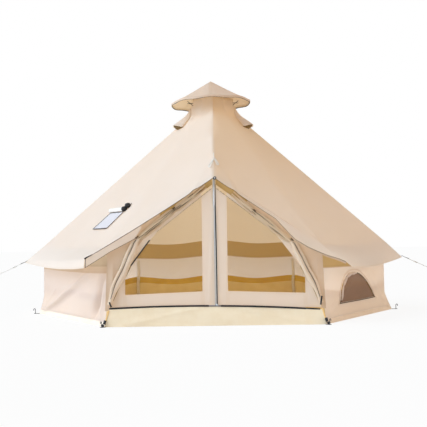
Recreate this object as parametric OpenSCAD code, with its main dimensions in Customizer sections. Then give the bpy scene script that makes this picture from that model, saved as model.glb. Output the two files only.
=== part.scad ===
// Six-sided canvas yurt tent on a centre pole, with a screened front door.
// Origin: middle of the ground plan, on the ground. Front is -Y, up is +Z.

/* [Ground plan] */
// Length of the front and back sides on the ground
front_w = 2500; // [2300:10:2700]
// Distance from the front side to the back side on the ground
depth = 4330; // [4100:10:4600]
// Distance from the left corner to the right corner on the ground
corner_span = 4720; // [4500:10:5000]
// Size of the plan at the wall top, as a share of the ground plan
top_share = 0.97; // [0.95:0.005:1]

/* [Cloth] */
// Thickness of the wall canvas as modelled
wall_t = 4; // [3:0.5:6]
// Thickness of the roof canvas, measured straight up
roof_t = 6; // [4:0.5:8]
// Thickness of the mesh in the door and windows
mesh_t = 2; // [1:0.5:3]
// Thickness of the groundsheet
sheet_t = 4; // [3:0.5:6]

/* [Roof] */
// Height of the wall top, where the roof meets the wall
wall_h = 900; // [800:10:1000]
// Height at which the roof ridges would meet
roof_top = 2890; // [2700:10:3000]
// Reach of the eave beyond the wall top
eave_reach = 235; // [150:5:300]
// Drop of the eave from the wall top to its hem
eave_drop = 215; // [150:5:260]
// Height of the front peak over the door, along the leaning front
peak_up = 1715; // [1660:5:1800]
// How far the front edge of the roof stands out past the front wall
front_lip = 80; // [76:1:100]
// Depth of the front valance at the peak
valance_top = 30; // [20:5:60]
// Depth of the front valance at the corner
valance_end = 105; // [60:5:140]

/* [Crown] */
// Size of the crown's foot, as a share of the wall top plan
crown_share = 0.13; // [0.11:0.005:0.16]
// Size of the crown's lid, as a share of its foot
crown_taper = 0.84; // [0.7:0.01:0.95]
// Distance of the crown's lid below the height where the ridges would meet
crown_under = 65; // [50:5:100]

/* [Rain cap] */
// Radius of the rain cap's rim
cap_r = 530; // [450:10:600]
// Distance of the rim below the roof's top
cap_under = 105; // [60:5:160]
// Rise of the cap from its rim to its tip
cap_rise = 283; // [200:1:360]
// Depth of the hem under the rim
cap_hem = 26; // [15:1:40]

/* [Poles] */
// Diameter of the centre pole
pole_d = 38; // [30:1:50]
// Sections that the centre pole is put together from
pole_sections = 3; // [2:1:4]
// Diameter of the sleeve over a joint between two sections
sleeve_d = 44; // [42:0.5:52]
// Length of a sleeve
sleeve_l = 160; // [100:5:240]
// Diameter of the shoulder plate that carries the crown's lid
shoulder_d = 92; // [84:1:110]
// Diameter of the centre pole's foot plate
foot_d = 110; // [90:1:160]
// Thickness of the shoulder plate and the foot plate
plate_t = 8; // [5:1:12]
// Height of the cone that stiffens a plate on the pole
flare_h = 24; // [15:1:40]
// Diameter of the spigot that carries the rain cap
spigot_d = 22; // [16:1:28]
// Diameter of the door pole
door_pole_d = 28; // [22:1:34]
// Diameter of the pin on the door pole's head
pin_d = 14; // [10:1:18]
// Length of the pin
pin_l = 60; // [30:5:90]
// Depth of the groove where two sections of the door pole meet
groove = 1.5; // [0.5:0.5:3]
// Clearance around what passes through a hole
fit_gap = 0.3; // [0.2:0.1:1]

/* [Front door] */
// Height of the fixed sill under the door
sill_h = 185; // [150:5:220]
// Depth of the gable band from the front peak to the door's apex
gable_band = 165; // [145:5:250]
// Distance of the door's shoulder from the front corner, across
shoulder_in = 335; // [300:5:450]
// Height of the door's shoulders
shoulder_up = 965; // [920:5:1000]
// Distance of the door's foot from the front corner, across
foot_in = 55; // [40:5:150]
// Canvas border beside the middle zip
border_mid = 148; // [80:2:180]
// Canvas border over the sill
border_low = 165; // [80:5:200]
// Canvas border along the slanting edges
border_edge = 34; // [20:2:60]
// Half width of the slot that shows the door pole at the peak
slot_half = 20; // [18:1:30]
// Diameter of the rolled outer door
roll_d = 50; // [36:2:52]
// Gap between the roll and the door's edge
roll_gap = 6; // [2:1:10]

/* [Window] */
// Width of the arched mesh window
window_w = 1290; // [900:10:1500]
// Height of the arched mesh window
window_h = 340; // [250:10:420]
// Height of the window's lower edge above the ground
window_low = 205; // [150:5:260]
// Window's middle, from the middle of its wall
window_x = -48; // [-120:2:120]

/* [Vents and stove opening] */
// Width of a vent hood's mouth
vent_w = 260; // [180:10:320]
// Length of a vent hood along the roof
vent_l = 240; // [200:10:320]
// Height of a vent hood's mouth
vent_h = 115; // [80:5:150]
// Gap between a hood's top and the crown, along the roof
vent_gap = 10; // [5:5:60]
// Share of a hood that is hollow
vent_hollow = 0.9; // [0.8:0.01:0.94]
// Width of the stove opening's heatproof panel
jack_w = 430; // [300:10:500]
// Height of the heatproof panel along the roof
jack_h = 280; // [200:10:360]
// Middle of the heatproof panel, from the middle of the roof panel
jack_x = 350; // [100:5:500]
// Lower edge of the panel, measured up the roof
jack_up = 327; // [200:1:500]
// Thickness of the panel
jack_t = 3; // [2:0.5:5]
// Diameter of its rolled-up flap
jack_roll_d = 34; // [20:1:50]

/* [Groundsheet and guys] */
// Height of the groundsheet's upstand along the walls
upstand_h = 360; // [250:10:420]
// Share of the ground plan that the floor fills
floor_share = 0.9978; // [0.995:0.0001:0.998]
// Distance from the eave corner to a guy rope's peg, on plan
guy_run = 1400; // [900:10:1800]
// Diameter of a guy rope
rope_d = 6; // [4:0.5:8]
// Diameter of a rope's runner
runner_d = 14; // [10:1:20]
// Length of a runner
runner_l = 50; // [30:5:80]
// Distance of a runner from the eave, along the rope
runner_at = 120; // [60:10:300]
// Diameter of a peg's steel rod
peg_d = 8; // [6:1:12]
// Visible height of a peg
peg_h = 70; // [55:5:120]
// Radius of the crook at a peg's head
crook_r = 11; // [8:1:16]
// Length of the straight end of the crook
crook_end = 14; // [8:1:24]
// Reach of a corner's webbing loop
loop_l = 75; // [60:5:100]
// Width of a webbing loop
loop_w = 40; // [25:1:60]
// Thickness of a webbing loop
loop_t = 4; // [3:0.5:6]

/* [Hidden] */
$fn = 48;

canvas = [0.93, 0.88, 0.80];
ground_yellow = [0.93, 0.86, 0.70];
mesh_brown = [0.50, 0.42, 0.34];
steel = [0.78, 0.78, 0.79];
heat_grey = [0.55, 0.54, 0.53];
webbing_black = [0.12, 0.12, 0.12];
rope_white = [0.90, 0.88, 0.84];

// Ground corners, counter-clockwise: right, back right, back left, left, front left, front right
corners = [
  [corner_span / 2, 0], [front_w / 2, depth / 2], [-front_w / 2, depth / 2],
  [-corner_span / 2, 0], [-front_w / 2, -depth / 2], [front_w / 2, -depth / 2]
];
// Sides, each from its own corner to the next one
right_back = 0;
back = 1;
left_back = 2;
left_front = 3;
front = 4;
right_front = 5;
far = 2 * corner_span;
eave_low = wall_h - eave_drop;

function corner(i) = corners[i % 6];
function top_corner(i) = top_share * corner(i);
function unit(v) = v / norm(v);
function along(i) = unit(corner(i + 1) - corner(i));
function outward(i) = [along(i)[1], -along(i)[0]];
function turn(i) = atan2(along(i)[1], along(i)[0]);
function reach_of(i) = corner(i) * outward(i);
function wall_lean(i) = atan((1 - top_share) * reach_of(i) / wall_h);
function wall_slant(i) = wall_h / cos(wall_lean(i));
function roof_lean(i) = atan(top_share * reach_of(i) / (roof_top - wall_h));
function roof_skin(i) = roof_t * sin(roof_lean(i));
function roof_slant(i) = (roof_top - wall_h) / cos(roof_lean(i));
// Place of a vent's mouth, up the roof from the wall top
function vent_up(i) = (1 - crown_share) * roof_slant(i) - vent_gap - vent_l;
// Middle of a wall, and of a roof panel some way up, from the foot of the side's perpendicular
function wall_mid(i) = (corner(i) + corner(i + 1)) * along(i) / 2;
function panel_mid(i, up) = (1 - up * cos(roof_lean(i)) / (roof_top - wall_h)) * top_share * wall_mid(i);
function mitre(a, b) = (a + b) / (1 + a * b);
function eave_corner(i) = top_corner(i) + eave_reach * mitre(outward((i + 5) % 6), outward(i % 6));
function at_height(p, z) = [p[0], p[1], z];
function rising(z) = [0, 0, z];

// Puts a flat shape on a wall: x along the side, y up the wall, z outward
module on_wall(i) {
  rotate([0, 0, turn(i)]) translate([0, -reach_of(i), 0]) rotate([90 - wall_lean(i), 0, 0]) children();
}

// Puts a flat shape on a roof panel's underside: y up the slope, z outward
module on_roof(i) {
  rotate([0, 0, turn(i)]) translate([0, -top_share * reach_of(i), wall_h])
    rotate([90 - roof_lean(i), 0, 0]) children();
}

// Wedge of the plan that belongs to one side, so that sheets meet in a mitre
module sector(i) {
  linear_extrude(height = roof_top) polygon([[0, 0], far * unit(corner(i)), far * unit(corner(i + 1))]);
}

// Solid between a polygon and its copy, moved by one step
module slab(points, step) {
  count = len(points);
  polyhedron(
    points = concat(points, [for (p = points) p + step]),
    faces = concat(
      [[for (i = [0 : count - 1]) i]],
      [[for (i = [count - 1 : -1 : 0]) count + i]],
      [for (i = [0 : count - 1]) [i, count + i, count + (i + 1) % count, (i + 1) % count]]
    )
  );
}

// Round bar between two points
module bar(a, b, d) {
  run = b - a;
  translate(a) rotate([0, acos(run[2] / norm(run)), atan2(run[1], run[0])]) cylinder(h = norm(run), d = d);
}

// Walls

module wall_band(i, low, high, inner, outer) {
  intersection() {
    sector(i);
    on_wall(i) translate([-far / 2, low, -inner]) cube([far, high - low, inner - outer]);
  }
}

// Space inside the six walls, at a depth from their outer faces
module within_walls(inset) {
  intersection_for(i = [right_back : right_front])
    on_wall(i) translate([-far, -far, -2 * far - inset]) cube(2 * far);
}

module wall(i) {
  color(canvas) wall_band(i, 0, wall_slant(i), wall_t, 0);
}

// Arch with a level foot: a segment of one circle
module window_shape() {
  arch_r = (window_w * window_w / 4 + window_h * window_h) / (2 * window_h);
  translate([wall_mid(right_front) + window_x, window_low]) intersection() {
    translate([0, window_h - arch_r]) circle(r = arch_r, $fn = 96);
    translate([-window_w, 0]) square([2 * window_w, window_h]);
  }
}

module wall_right_front() {
  color(canvas) difference() {
    wall_band(right_front, 0, wall_slant(right_front), wall_t, 0);
    on_wall(right_front) translate([0, 0, -2 * wall_t]) linear_extrude(height = 3 * wall_t) window_shape();
  }
}

module window_mesh() {
  color(mesh_brown) on_wall(right_front) translate([0, 0, -wall_t + (wall_t - mesh_t) / 2])
    linear_extrude(height = mesh_t) window_shape();
}

// Front wall and door, drawn for the left and mirrored for the right

front_slant = wall_slant(front);
door_apex = peak_up - gable_band;
shoulder_x = front_w / 2 - shoulder_in;
door_foot_x = front_w / 2 - foot_in;
gable_slope = (peak_up - front_slant) / (top_share * front_w / 2);
door_slope = (door_apex - shoulder_up) / shoulder_x;
leg_slope = (door_foot_x - shoulder_x) / (shoulder_up - sill_h);
function front_edge_x(up) = -front_w / 2 * (1 - (1 - top_share) * up / front_slant);

module both_sides(side) {
  mirror([side == "right" ? 1 : 0, 0, 0]) children();
}

module front_wall(side) {
  color(canvas) both_sides(side) intersection() {
    sector(front);
    on_wall(front) translate([0, 0, -wall_t]) linear_extrude(height = wall_t) polygon([
      [front_edge_x(sill_h) - wall_t, sill_h],
      [front_edge_x(front_slant), front_slant],
      [-slot_half, peak_up - gable_slope * slot_half],
      [-slot_half, door_apex - door_slope * slot_half],
      [-shoulder_x, shoulder_up],
      [-door_foot_x, sill_h]
    ]);
  }
}

module door_outline() {
  polygon([[0, sill_h], [0, door_apex], [-shoulder_x, shoulder_up], [-door_foot_x, sill_h]]);
}

module door_window() {
  edge_drop = border_edge / cos(atan(door_slope));
  edge_in = border_edge / cos(atan(leg_slope));
  mesh_top = door_apex - edge_drop;
  low = sill_h + border_low;
  side_x = shoulder_x - edge_in;
  side_up = mesh_top - door_slope * side_x;
  polygon([
    [-border_mid, low],
    [-border_mid, mesh_top - door_slope * border_mid],
    [-side_x, side_up],
    [-side_x - leg_slope * (side_up - low), low]
  ]);
}

module door_leaf(side) {
  color(canvas) both_sides(side) on_wall(front) translate([0, 0, -wall_t])
    linear_extrude(height = wall_t) difference() {
      door_outline();
      door_window();
    }
}

module door_mesh(side) {
  color(mesh_brown) both_sides(side) on_wall(front) translate([0, 0, -wall_t + (wall_t - mesh_t) / 2])
    linear_extrude(height = mesh_t) door_window();
}

module door_sill() {
  color(ground_yellow) wall_band(front, 0, sill_h, wall_t, 0);
}

// Outer door panel, rolled up beside the opening
module door_roll(side) {
  gable_out = unit([-door_slope, 1]);
  leg_out = unit([-1, leg_slope]);
  stand_off = roll_d / 2 + roll_gap;
  head = [-4 * roll_d, door_apex - 4 * roll_d * door_slope] + stand_off * gable_out;
  bend = [-shoulder_x, shoulder_up] + stand_off * mitre(gable_out, leg_out);
  heel = [-door_foot_x, sill_h] + [leg_slope, 1] * roll_d + stand_off * leg_out;
  color(canvas) both_sides(side) on_wall(front) translate([0, 0, roll_d / 2]) {
    bar(at_height(head, 0), at_height(bend, 0), roll_d);
    bar(at_height(bend, 0), at_height(heel, 0), roll_d);
    translate(at_height(bend, 0)) sphere(d = roll_d);
  }
}

// Roof

crown_z = roof_top - crown_share * (roof_top - wall_h);
crown_top = roof_top - crown_under;

module roof_side(i) {
  inner = crown_share * top_share * reach_of(i);
  wall_line = top_share * reach_of(i);
  starts_at_front = i == right_front;
  ends_at_front = i == left_front;
  start_tip = starts_at_front ? top_corner(i) + eave_reach * outward(i) : eave_corner(i);
  end_tip = ends_at_front ? top_corner(i + 1) + eave_reach * outward(i) : eave_corner(i + 1);
  intersection() {
    linear_extrude(height = roof_top + roof_t) polygon([
      crown_share * top_corner(i), top_corner(i), start_tip,
      end_tip, top_corner(i + 1), crown_share * top_corner(i + 1)
    ]);
    rotate([0, 0, turn(i)]) rotate([90, 0, -90]) linear_extrude(height = far, center = true) polygon([
      [inner, crown_z], [wall_line, wall_h], [wall_line + eave_reach, eave_low],
      [wall_line + eave_reach, eave_low + roof_t], [wall_line, wall_h + roof_t], [inner, crown_z + roof_t]
    ]);
  }
}

module vent_hole(i) {
  on_roof(i) translate([panel_mid(i, vent_up(i)), vent_up(i), -roof_t]) linear_extrude(height = 3 * roof_t)
    polygon([[-vent_w / 4, vent_l / 8], [vent_w / 4, vent_l / 8], [0, vent_l / 2]]);
}

module vented_roof(i) {
  color(canvas) difference() {
    roof_side(i);
    vent_hole(i);
  }
}

module roof_back() {
  color(canvas) roof_side(back);
}

// Hood over a vent: a three-sided shell, open at its lower end
module hood_shape() {
  slab_points = [[-vent_w / 2, 0, 0], [vent_w / 2, 0, 0], [0, vent_l, 0], [0, -vent_h / 4, vent_h]];
  polyhedron(points = slab_points, faces = [[0, 1, 2], [1, 0, 3], [2, 1, 3], [0, 2, 3]]);
}

module vent(i) {
  color(canvas) on_roof(i) translate([panel_mid(i, vent_up(i)), vent_up(i), roof_skin(i)]) difference() {
    hood_shape();
    translate([0, -vent_h / 4, -vent_h / 100]) scale(vent_hollow) hood_shape();
  }
}

front_apex = [0, 0, roof_top];
peak = [0, -depth / 2 + peak_up * sin(wall_lean(front)), peak_up * cos(wall_lean(front))];
front_top = at_height(top_corner(front), wall_h);
// Points on the ridge and on the hip where the roof's front edge ends
lip_peak = peak + (peak - front_apex) * front_lip / (front_apex[1] - peak[1]);
lip_corner = front_top + (front_top - front_apex) * front_lip / (front_apex[1] - front_top[1]);

// Where the crown's foot stands on the front hip and on the ridge, equally far out
crown_hip = front_apex + crown_share * (front_top - front_apex);
crown_reach = crown_share * norm(top_corner(front));
crown_ridge = front_apex + crown_reach / norm([peak[0], peak[1]]) * (peak - front_apex);

module roof_front(side) {
  color(canvas) both_sides(side) slab([crown_hip, crown_ridge, lip_peak, lip_corner], rising(roof_t));
}

module front_valance(side) {
  color(canvas) both_sides(side) slab([
    lip_corner, lip_peak, lip_peak - rising(valance_top), lip_corner - rising(valance_end)
  ], [0, wall_t, 0]);
}

// Crown: a steep canvas collar from the roof's panels in to a lid on the centre pole

crown_foot = [
  for (i = [right_back : front]) at_height(crown_share * top_corner(i), crown_z),
  crown_ridge, at_height(crown_share * top_corner(right_front), crown_z)
];

// Block that rises through the roof from below the foot, then narrows to a level top
module crown_block(share, below, top) {
  count = len(crown_foot);
  last = count - 1;
  function ring(taper, heights) = [
    for (k = [0 : last]) [share * taper * crown_foot[k][0], share * taper * crown_foot[k][1], heights[k]]
  ];
  function after(k) = (k + 1) % count;
  polyhedron(
    points = concat(
      ring(1, [for (p = crown_foot) p[2] - below]),
      ring(1, [for (p = crown_foot) p[2] + roof_t]),
      ring(crown_taper, [for (p = crown_foot) top]),
      [[0, 0, crown_z - below]]
    ),
    faces = concat(
      [for (k = [0 : last]) [3 * count, k, after(k)]],
      [for (k = [0 : last]) [k, count + k, count + after(k), after(k)]],
      [for (k = [0 : last]) [count + k, 2 * count + k, 2 * count + after(k)]],
      [for (k = [0 : last]) [count + k, 2 * count + after(k), count + after(k)]],
      [[for (k = [last : -1 : 0]) 2 * count + k]]
    )
  );
}

module roof_crown() {
  skin_share = wall_t / (crown_share * top_share * reach_of(right_back));
  color(canvas) difference() {
    crown_block(1, 0, crown_top);
    crown_block(1 - skin_share, roof_t, crown_top - roof_t);
    cylinder(h = 2 * roof_top, d = spigot_d + 2 * fit_gap);
  }
}

// Rain cap

cap_rim = roof_top - cap_under;
cap_top = cap_rim + cap_rise;
cap_slope = cap_rise / cap_r;

module rain_cap() {
  color(canvas) rotate_extrude($fn = 96) polygon([
    [0, cap_top], [cap_r, cap_rim], [cap_r, cap_rim - cap_hem], [cap_r - wall_t, cap_rim - cap_hem],
    [cap_r - wall_t, cap_rim + cap_slope * wall_t - roof_t], [0, cap_top - roof_t]
  ]);
}

// Poles

// Round plate with bevelled edges and a cone that stiffens it on the pole
module flared_plate(d) {
  bevel = plate_t / 3;
  rotate_extrude() polygon([
    [0, 0], [d / 2 - bevel, 0], [d / 2, bevel], [d / 2, plate_t - bevel], [d / 2 - bevel, plate_t],
    [pole_d / 2 + flare_h / 2, plate_t], [pole_d / 2, plate_t + flare_h], [0, plate_t + flare_h]
  ]);
}

// Sleeve over a joint, tapered at both ends
module sleeve() {
  step = (sleeve_d - pole_d) / 2;
  rotate_extrude() polygon([
    [0, 0], [pole_d / 2, 0], [sleeve_d / 2, 2 * step],
    [sleeve_d / 2, sleeve_l - 2 * step], [pole_d / 2, sleeve_l], [0, sleeve_l]
  ]);
}

module center_pole() {
  shaft = crown_top - roof_t - sheet_t;
  spigot_top = cap_top - roof_t - cap_slope * spigot_d / 2;
  color(steel) translate([0, 0, sheet_t]) {
    cylinder(h = shaft, d = pole_d);
    cylinder(h = spigot_top - sheet_t, d = spigot_d);
    flared_plate(foot_d);
    translate([0, 0, shaft]) mirror([0, 0, 1]) flared_plate(shoulder_d);
    for (k = [1 : pole_sections - 1]) translate([0, 0, k * shaft / pole_sections - sleeve_l / 2]) sleeve();
  }
}

module door_pole() {
  heel_up = (sheet_t + door_pole_d / 2 * sin(wall_lean(front))) / cos(wall_lean(front))
    + (wall_t + door_pole_d / 2) * tan(wall_lean(front));
  head = peak_up - gable_slope * pin_d / 2 - heel_up;
  shoulder = head - pin_l;
  color(steel) on_wall(front) translate([0, heel_up, -wall_t - door_pole_d / 2]) rotate([-90, 0, 0])
    rotate_extrude() polygon([
      [0, 0], [door_pole_d / 2, 0],
      [door_pole_d / 2, shoulder / 2 - groove], [door_pole_d / 2 - groove, shoulder / 2],
      [door_pole_d / 2, shoulder / 2 + groove], [door_pole_d / 2, shoulder - door_pole_d / 4],
      [pin_d / 2, shoulder], [pin_d / 2, head], [0, head]
    ]);
}

// Groundsheet

module groundsheet() {
  color(ground_yellow) linear_extrude(height = sheet_t) polygon([for (c = corners) floor_share * c]);
}

module groundsheet_upstand() {
  color(ground_yellow) intersection() {
    translate([-far, -far, sheet_t]) cube([2 * far, 2 * far, upstand_h - sheet_t]);
    difference() {
      within_walls(wall_t);
      within_walls(wall_t + sheet_t);
      sector(front);
    }
  }
}

// Stove opening on the left front roof panel

jack_left = panel_mid(left_front, jack_up + jack_h / 2) + jack_x - jack_w / 2;
jack_base = roof_skin(left_front);

module stove_jack() {
  color(heat_grey) on_roof(left_front) translate([jack_left, jack_up, jack_base])
    cube([jack_w, jack_h, jack_t]);
}

module stove_jack_roll() {
  color(canvas) on_roof(left_front)
    translate([jack_left, jack_up + jack_h + jack_roll_d / 2, jack_base + jack_roll_d / 2])
    rotate([0, 90, 0]) cylinder(h = jack_w, d = jack_roll_d);
}

// Guy ropes and pegs

// Height at which a peg's straight rod ends and its crook begins
rod_top = peg_h - peg_d / 2 - crook_r;
guy_high = eave_low + roof_t / 2;
guy_low = rod_top - rope_d;
guy_angle = atan((guy_high - guy_low) / guy_run);
// A rope's end is cut square, so its edge stands this far from what it meets
rope_edge = rope_d / 2 * sin(guy_angle);
function guy_way(i) = unit(eave_corner(i));
function guy_top(i) = at_height(eave_corner(i) + rope_edge * guy_way(i), guy_high);
function guy_foot(i) = at_height(eave_corner(i) + (rope_edge + guy_run) * guy_way(i), guy_low);
function guy_peg(i) = eave_corner(i) + (2 * rope_edge + guy_run + peg_d / 2) * guy_way(i);

// Rope from the eave to its peg, with the runner that tightens it
module guy_rope(i) {
  way = unit(guy_foot(i) - guy_top(i));
  color(rope_white) union() {
    bar(guy_top(i), guy_foot(i), rope_d);
    bar(guy_top(i) + runner_at * way, guy_top(i) + (runner_at + runner_l) * way, runner_d);
  }
}

// Steel rod whose head is bent over in a crook that points away from the tent
module peg(place) {
  translate(at_height(place, 0)) rotate([0, 0, atan2(place[1], place[0])]) {
    cylinder(h = rod_top, d = peg_d);
    translate([crook_r, 0, rod_top]) rotate([90, 0, 0]) rotate_extrude(angle = 180)
      translate([crook_r, 0]) circle(d = peg_d);
    translate([2 * crook_r, 0, rod_top - crook_end]) cylinder(h = crook_end, d = peg_d);
  }
}

module guy_pegs() {
  color(steel) for (i = [right_back, back, left_back, left_front]) peg(guy_peg(i));
}

// Webbing loop with a round end and an eye for the peg
module corner_loop() {
  eye = loop_l - loop_w / 2;
  linear_extrude(height = loop_t) difference() {
    union() {
      translate([0, -loop_w / 2]) square([eye, loop_w]);
      translate([eye, 0]) circle(d = loop_w);
    }
    translate([eye, 0]) circle(d = peg_d + 2 * fit_gap);
  }
}

module corner_loops() {
  color(webbing_black) for (c = corners)
    rotate([0, 0, atan2(c[1], c[0])]) translate([norm(c), 0, 0]) corner_loop();
}

module corner_pegs() {
  color(steel) for (c = corners) peg(c + unit(c) * (loop_l - loop_w / 2));
}

center_pole();
door_pole();
groundsheet();
groundsheet_upstand();
door_sill();
wall(right_back);  // wall_right_back
wall(back);  // wall_back
wall(left_back);  // wall_left_back
wall(left_front);  // wall_left_front
wall_right_front();
front_wall("left");  // front_wall_left
front_wall("right");  // front_wall_right
door_leaf("left");  // door_leaf_left
door_leaf("right");  // door_leaf_right
door_mesh("left");  // door_mesh_left
door_mesh("right");  // door_mesh_right
door_roll("left");  // door_roll_left
door_roll("right");  // door_roll_right
front_valance("left");  // front_valance_left
front_valance("right");  // front_valance_right
vented_roof(right_back);  // roof_right_back
roof_back();
vented_roof(left_back);  // roof_left_back
vented_roof(left_front);  // roof_left_front
vented_roof(right_front);  // roof_right_front
roof_front("left");  // roof_front_left
roof_front("right");  // roof_front_right
roof_crown();
rain_cap();
vent(right_back);  // vent_right_back
vent(left_back);  // vent_left_back
vent(left_front);  // vent_left_front
vent(right_front);  // vent_right_front
window_mesh();
stove_jack();
stove_jack_roll();
guy_rope(right_back);  // guy_rope_right
guy_rope(back);  // guy_rope_back_right
guy_rope(left_back);  // guy_rope_back_left
guy_rope(left_front);  // guy_rope_left
guy_pegs();
corner_pegs();
corner_loops();
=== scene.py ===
# %% [markdown]
# # A six-sided canvas yurt tent
#
# The tent is cotton canvas over two steel poles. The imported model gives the
# frame: where every corner, panel and peg is. The lesson turns its plain
# panels into cloth that sags, creases, is sewn and lets some light through.

# %% Load the frame
import math

import bpy
import numpy as np
from mathutils import Matrix, Vector


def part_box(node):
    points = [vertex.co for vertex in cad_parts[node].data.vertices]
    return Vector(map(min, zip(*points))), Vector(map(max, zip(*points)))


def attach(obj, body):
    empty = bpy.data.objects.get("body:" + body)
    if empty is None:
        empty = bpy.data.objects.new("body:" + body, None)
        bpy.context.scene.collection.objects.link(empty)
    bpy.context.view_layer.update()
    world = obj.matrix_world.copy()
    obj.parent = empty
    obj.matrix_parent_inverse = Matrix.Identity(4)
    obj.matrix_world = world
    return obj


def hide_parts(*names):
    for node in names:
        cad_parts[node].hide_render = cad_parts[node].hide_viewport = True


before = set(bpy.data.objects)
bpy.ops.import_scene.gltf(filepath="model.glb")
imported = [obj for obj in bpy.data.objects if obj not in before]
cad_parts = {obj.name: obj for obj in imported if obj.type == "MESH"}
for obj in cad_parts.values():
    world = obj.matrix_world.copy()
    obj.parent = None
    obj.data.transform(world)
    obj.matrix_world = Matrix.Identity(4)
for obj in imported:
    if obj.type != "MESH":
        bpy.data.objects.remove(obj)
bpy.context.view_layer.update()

TAU = 2 * math.pi

# %% [markdown]
# ## Camera
#
# Six corners of the tent on the ground, its peak and its cap were lined up
# with the photo to find where the camera stood. A long lens about 13 m away
# and a metre above the ground fits them. A camera placed by eye would do for
# a view, but only a fitted one lets the model be laid over the photo.

# %% Camera
EYE = (0.009, -13.494, 1.016)
TURN, TILT, ROLL = 0.0015, 0.0218, -0.0132
FRAME_PX, FOCAL_PX, SENSOR_MM = 427, 1005.3, 36.0

ahead = Vector((-math.sin(TURN) * math.cos(TILT), math.cos(TURN) * math.cos(TILT), math.sin(TILT)))
level = Vector((math.cos(TURN), math.sin(TURN), 0))
upright = level.cross(ahead)
right = level * math.cos(ROLL) + upright * math.sin(ROLL)
above = upright * math.cos(ROLL) - level * math.sin(ROLL)

camera = bpy.data.objects.new("camera", bpy.data.cameras.new("camera"))
camera.data.sensor_width = SENSOR_MM
camera.data.lens = SENSOR_MM * FOCAL_PX / FRAME_PX
camera.matrix_world = Matrix(
    [[right[k], above[k], -ahead[k], EYE[k]] for k in range(3)] + [[0, 0, 0, 1]]
)
bpy.context.scene.collection.objects.link(camera)
bpy.context.scene.camera = camera
print("camera: lens", round(camera.data.lens, 2), "mm")

# %% [markdown]
# ## Node arithmetic
#
# A material here is a small calculation: distance from a seam, a row of
# stitches, a weave. Its nodes could be wired by hand in the shader editor,
# but a formula is easier to read and to change. `Wire` stands for one socket,
# so that sums are written as sums. `Finish` owns the tree and makes any node
# from its type, its inputs and its settings.


# %% Wires
class Wire:
    """One output of a node tree. Arithmetic on it adds Math nodes."""

    def __init__(self, finish, socket):
        self.finish, self.socket = finish, socket

    def math(self, operation, *inputs):
        return self.finish.add("Math", dict(enumerate(inputs)), operation=operation)

    def __add__(self, other):
        return self.math("ADD", self, other)

    def __sub__(self, other):
        return self.math("SUBTRACT", self, other)

    def __rsub__(self, other):
        return self.math("SUBTRACT", other, self)

    def __mul__(self, other):
        return self.math("MULTIPLY", self, other)

    def __truediv__(self, other):
        return self.math("DIVIDE", self, other)

    def __rtruediv__(self, other):
        return self.math("DIVIDE", other, self)

    __radd__, __rmul__ = __add__, __mul__

    def __lt__(self, other):
        return self.math("LESS_THAN", self, other)

    def __gt__(self, other):
        return self.math("GREATER_THAN", self, other)

    def __abs__(self):
        return self.math("ABSOLUTE", self)

    def sine(self):
        return self.math("SINE", self)

    def fraction(self):
        return self.math("FRACT", self)

    def most(self, other):
        return self.math("MAXIMUM", self, other)

    def rise(self, low, high):
        """0 below low, 1 above high, smooth between."""
        ends = {"Value": self, "From Min": low, "From Max": high}
        return self.finish.add("MapRange", ends, interpolation_type="SMOOTHSTEP")

    def near(self, place, half):
        """1 at place, falling to 0 half away from it."""
        return 1 - abs(self - place).rise(0.0, half)


def paint(colour):
    """An sRGB colour, 0 to 255, as the linear colour that shaders take. A wire stays a wire."""
    if isinstance(colour, Wire):
        return colour
    share = [c / 255 for c in colour]
    return (*[c / 12.92 if c <= 0.04045 else ((c + 0.055) / 1.055) ** 2.4 for c in share], 1.0)


# %% Finishes
class Finish:
    """The node tree of one material, or of the sky, under construction."""

    def __init__(self, name, kind="Material"):
        library = bpy.data.worlds if kind == "World" else bpy.data.materials
        self.kind, self.owner = kind, library.new(name)
        self.owner.use_nodes = True
        self.tree = self.owner.node_tree
        self.tree.nodes.clear()

    def add(self, kind, inputs=None, out=0, **settings):
        """Makes a shader node of any kind and returns one of its outputs."""
        node = self.tree.nodes.new("ShaderNode" + kind)
        for key, value in settings.items():
            setattr(node, key, value)
        for key, value in (inputs or {}).items():
            if isinstance(value, Wire):
                self.tree.links.new(value.socket, node.inputs[key])
            else:
                node.inputs[key].default_value = value
        return Wire(self, node.outputs[out]) if node.outputs else None

    def parts(self, vector):
        return [self.add("SeparateXYZ", {"Vector": vector}, axis) for axis in range(3)]

    def map(self, name):
        """The two coordinates of a UV map, in metres."""
        return self.parts(self.add("UVMap", uv_map=name))[:2]

    def place(self):
        return self.add("TexCoord", out="Object")

    def noise(self, vector, scale, detail=3.0, roughness=0.5):
        inputs = {"Vector": vector, "Scale": scale, "Detail": detail, "Roughness": roughness}
        return self.add("TexNoise", inputs, "Fac")

    def vector(self, x, y, z=0.0):
        return self.add("CombineXYZ", {0: x, 1: y, 2: z})

    def mixed(self, share, first, second):
        """The colour share of the way from first to second."""
        return self.add("Mix", {0: share, 6: paint(first), 7: paint(second)}, 2, data_type="RGBA")

    def bump(self, height, distance, strength=1.0):
        return self.add("Bump", {"Strength": strength, "Distance": distance, "Height": height})

    def surface(self, **inputs):
        named = {key.replace("_", " ").title(): value for key, value in inputs.items()}
        return self.add("BsdfPrincipled", named)

    def blend(self, share, first, second):
        """The shader share of the way from first to second."""
        return self.add("MixShader", {0: share, 1: first, 2: second})

    def done(self, shader):
        self.add("Output" + self.kind, {"Surface": shader})
        return self.owner


# %% [markdown]
# ## Canvas
#
# Cotton canvas is a plain weave with uneven yarn. Three things make it read
# as canvas: the weave and slubs, the flat-felled seams with two rows of
# stitches, and light that comes through it warm. Each cloth carries two UV
# maps in metres: `cloth` runs along the yarn, `seam` gives the run along the
# nearest sewn edge and the distance from it. A picture of canvas would repeat
# and blur close up; worked out in metres, the weave has its true size.

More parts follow.
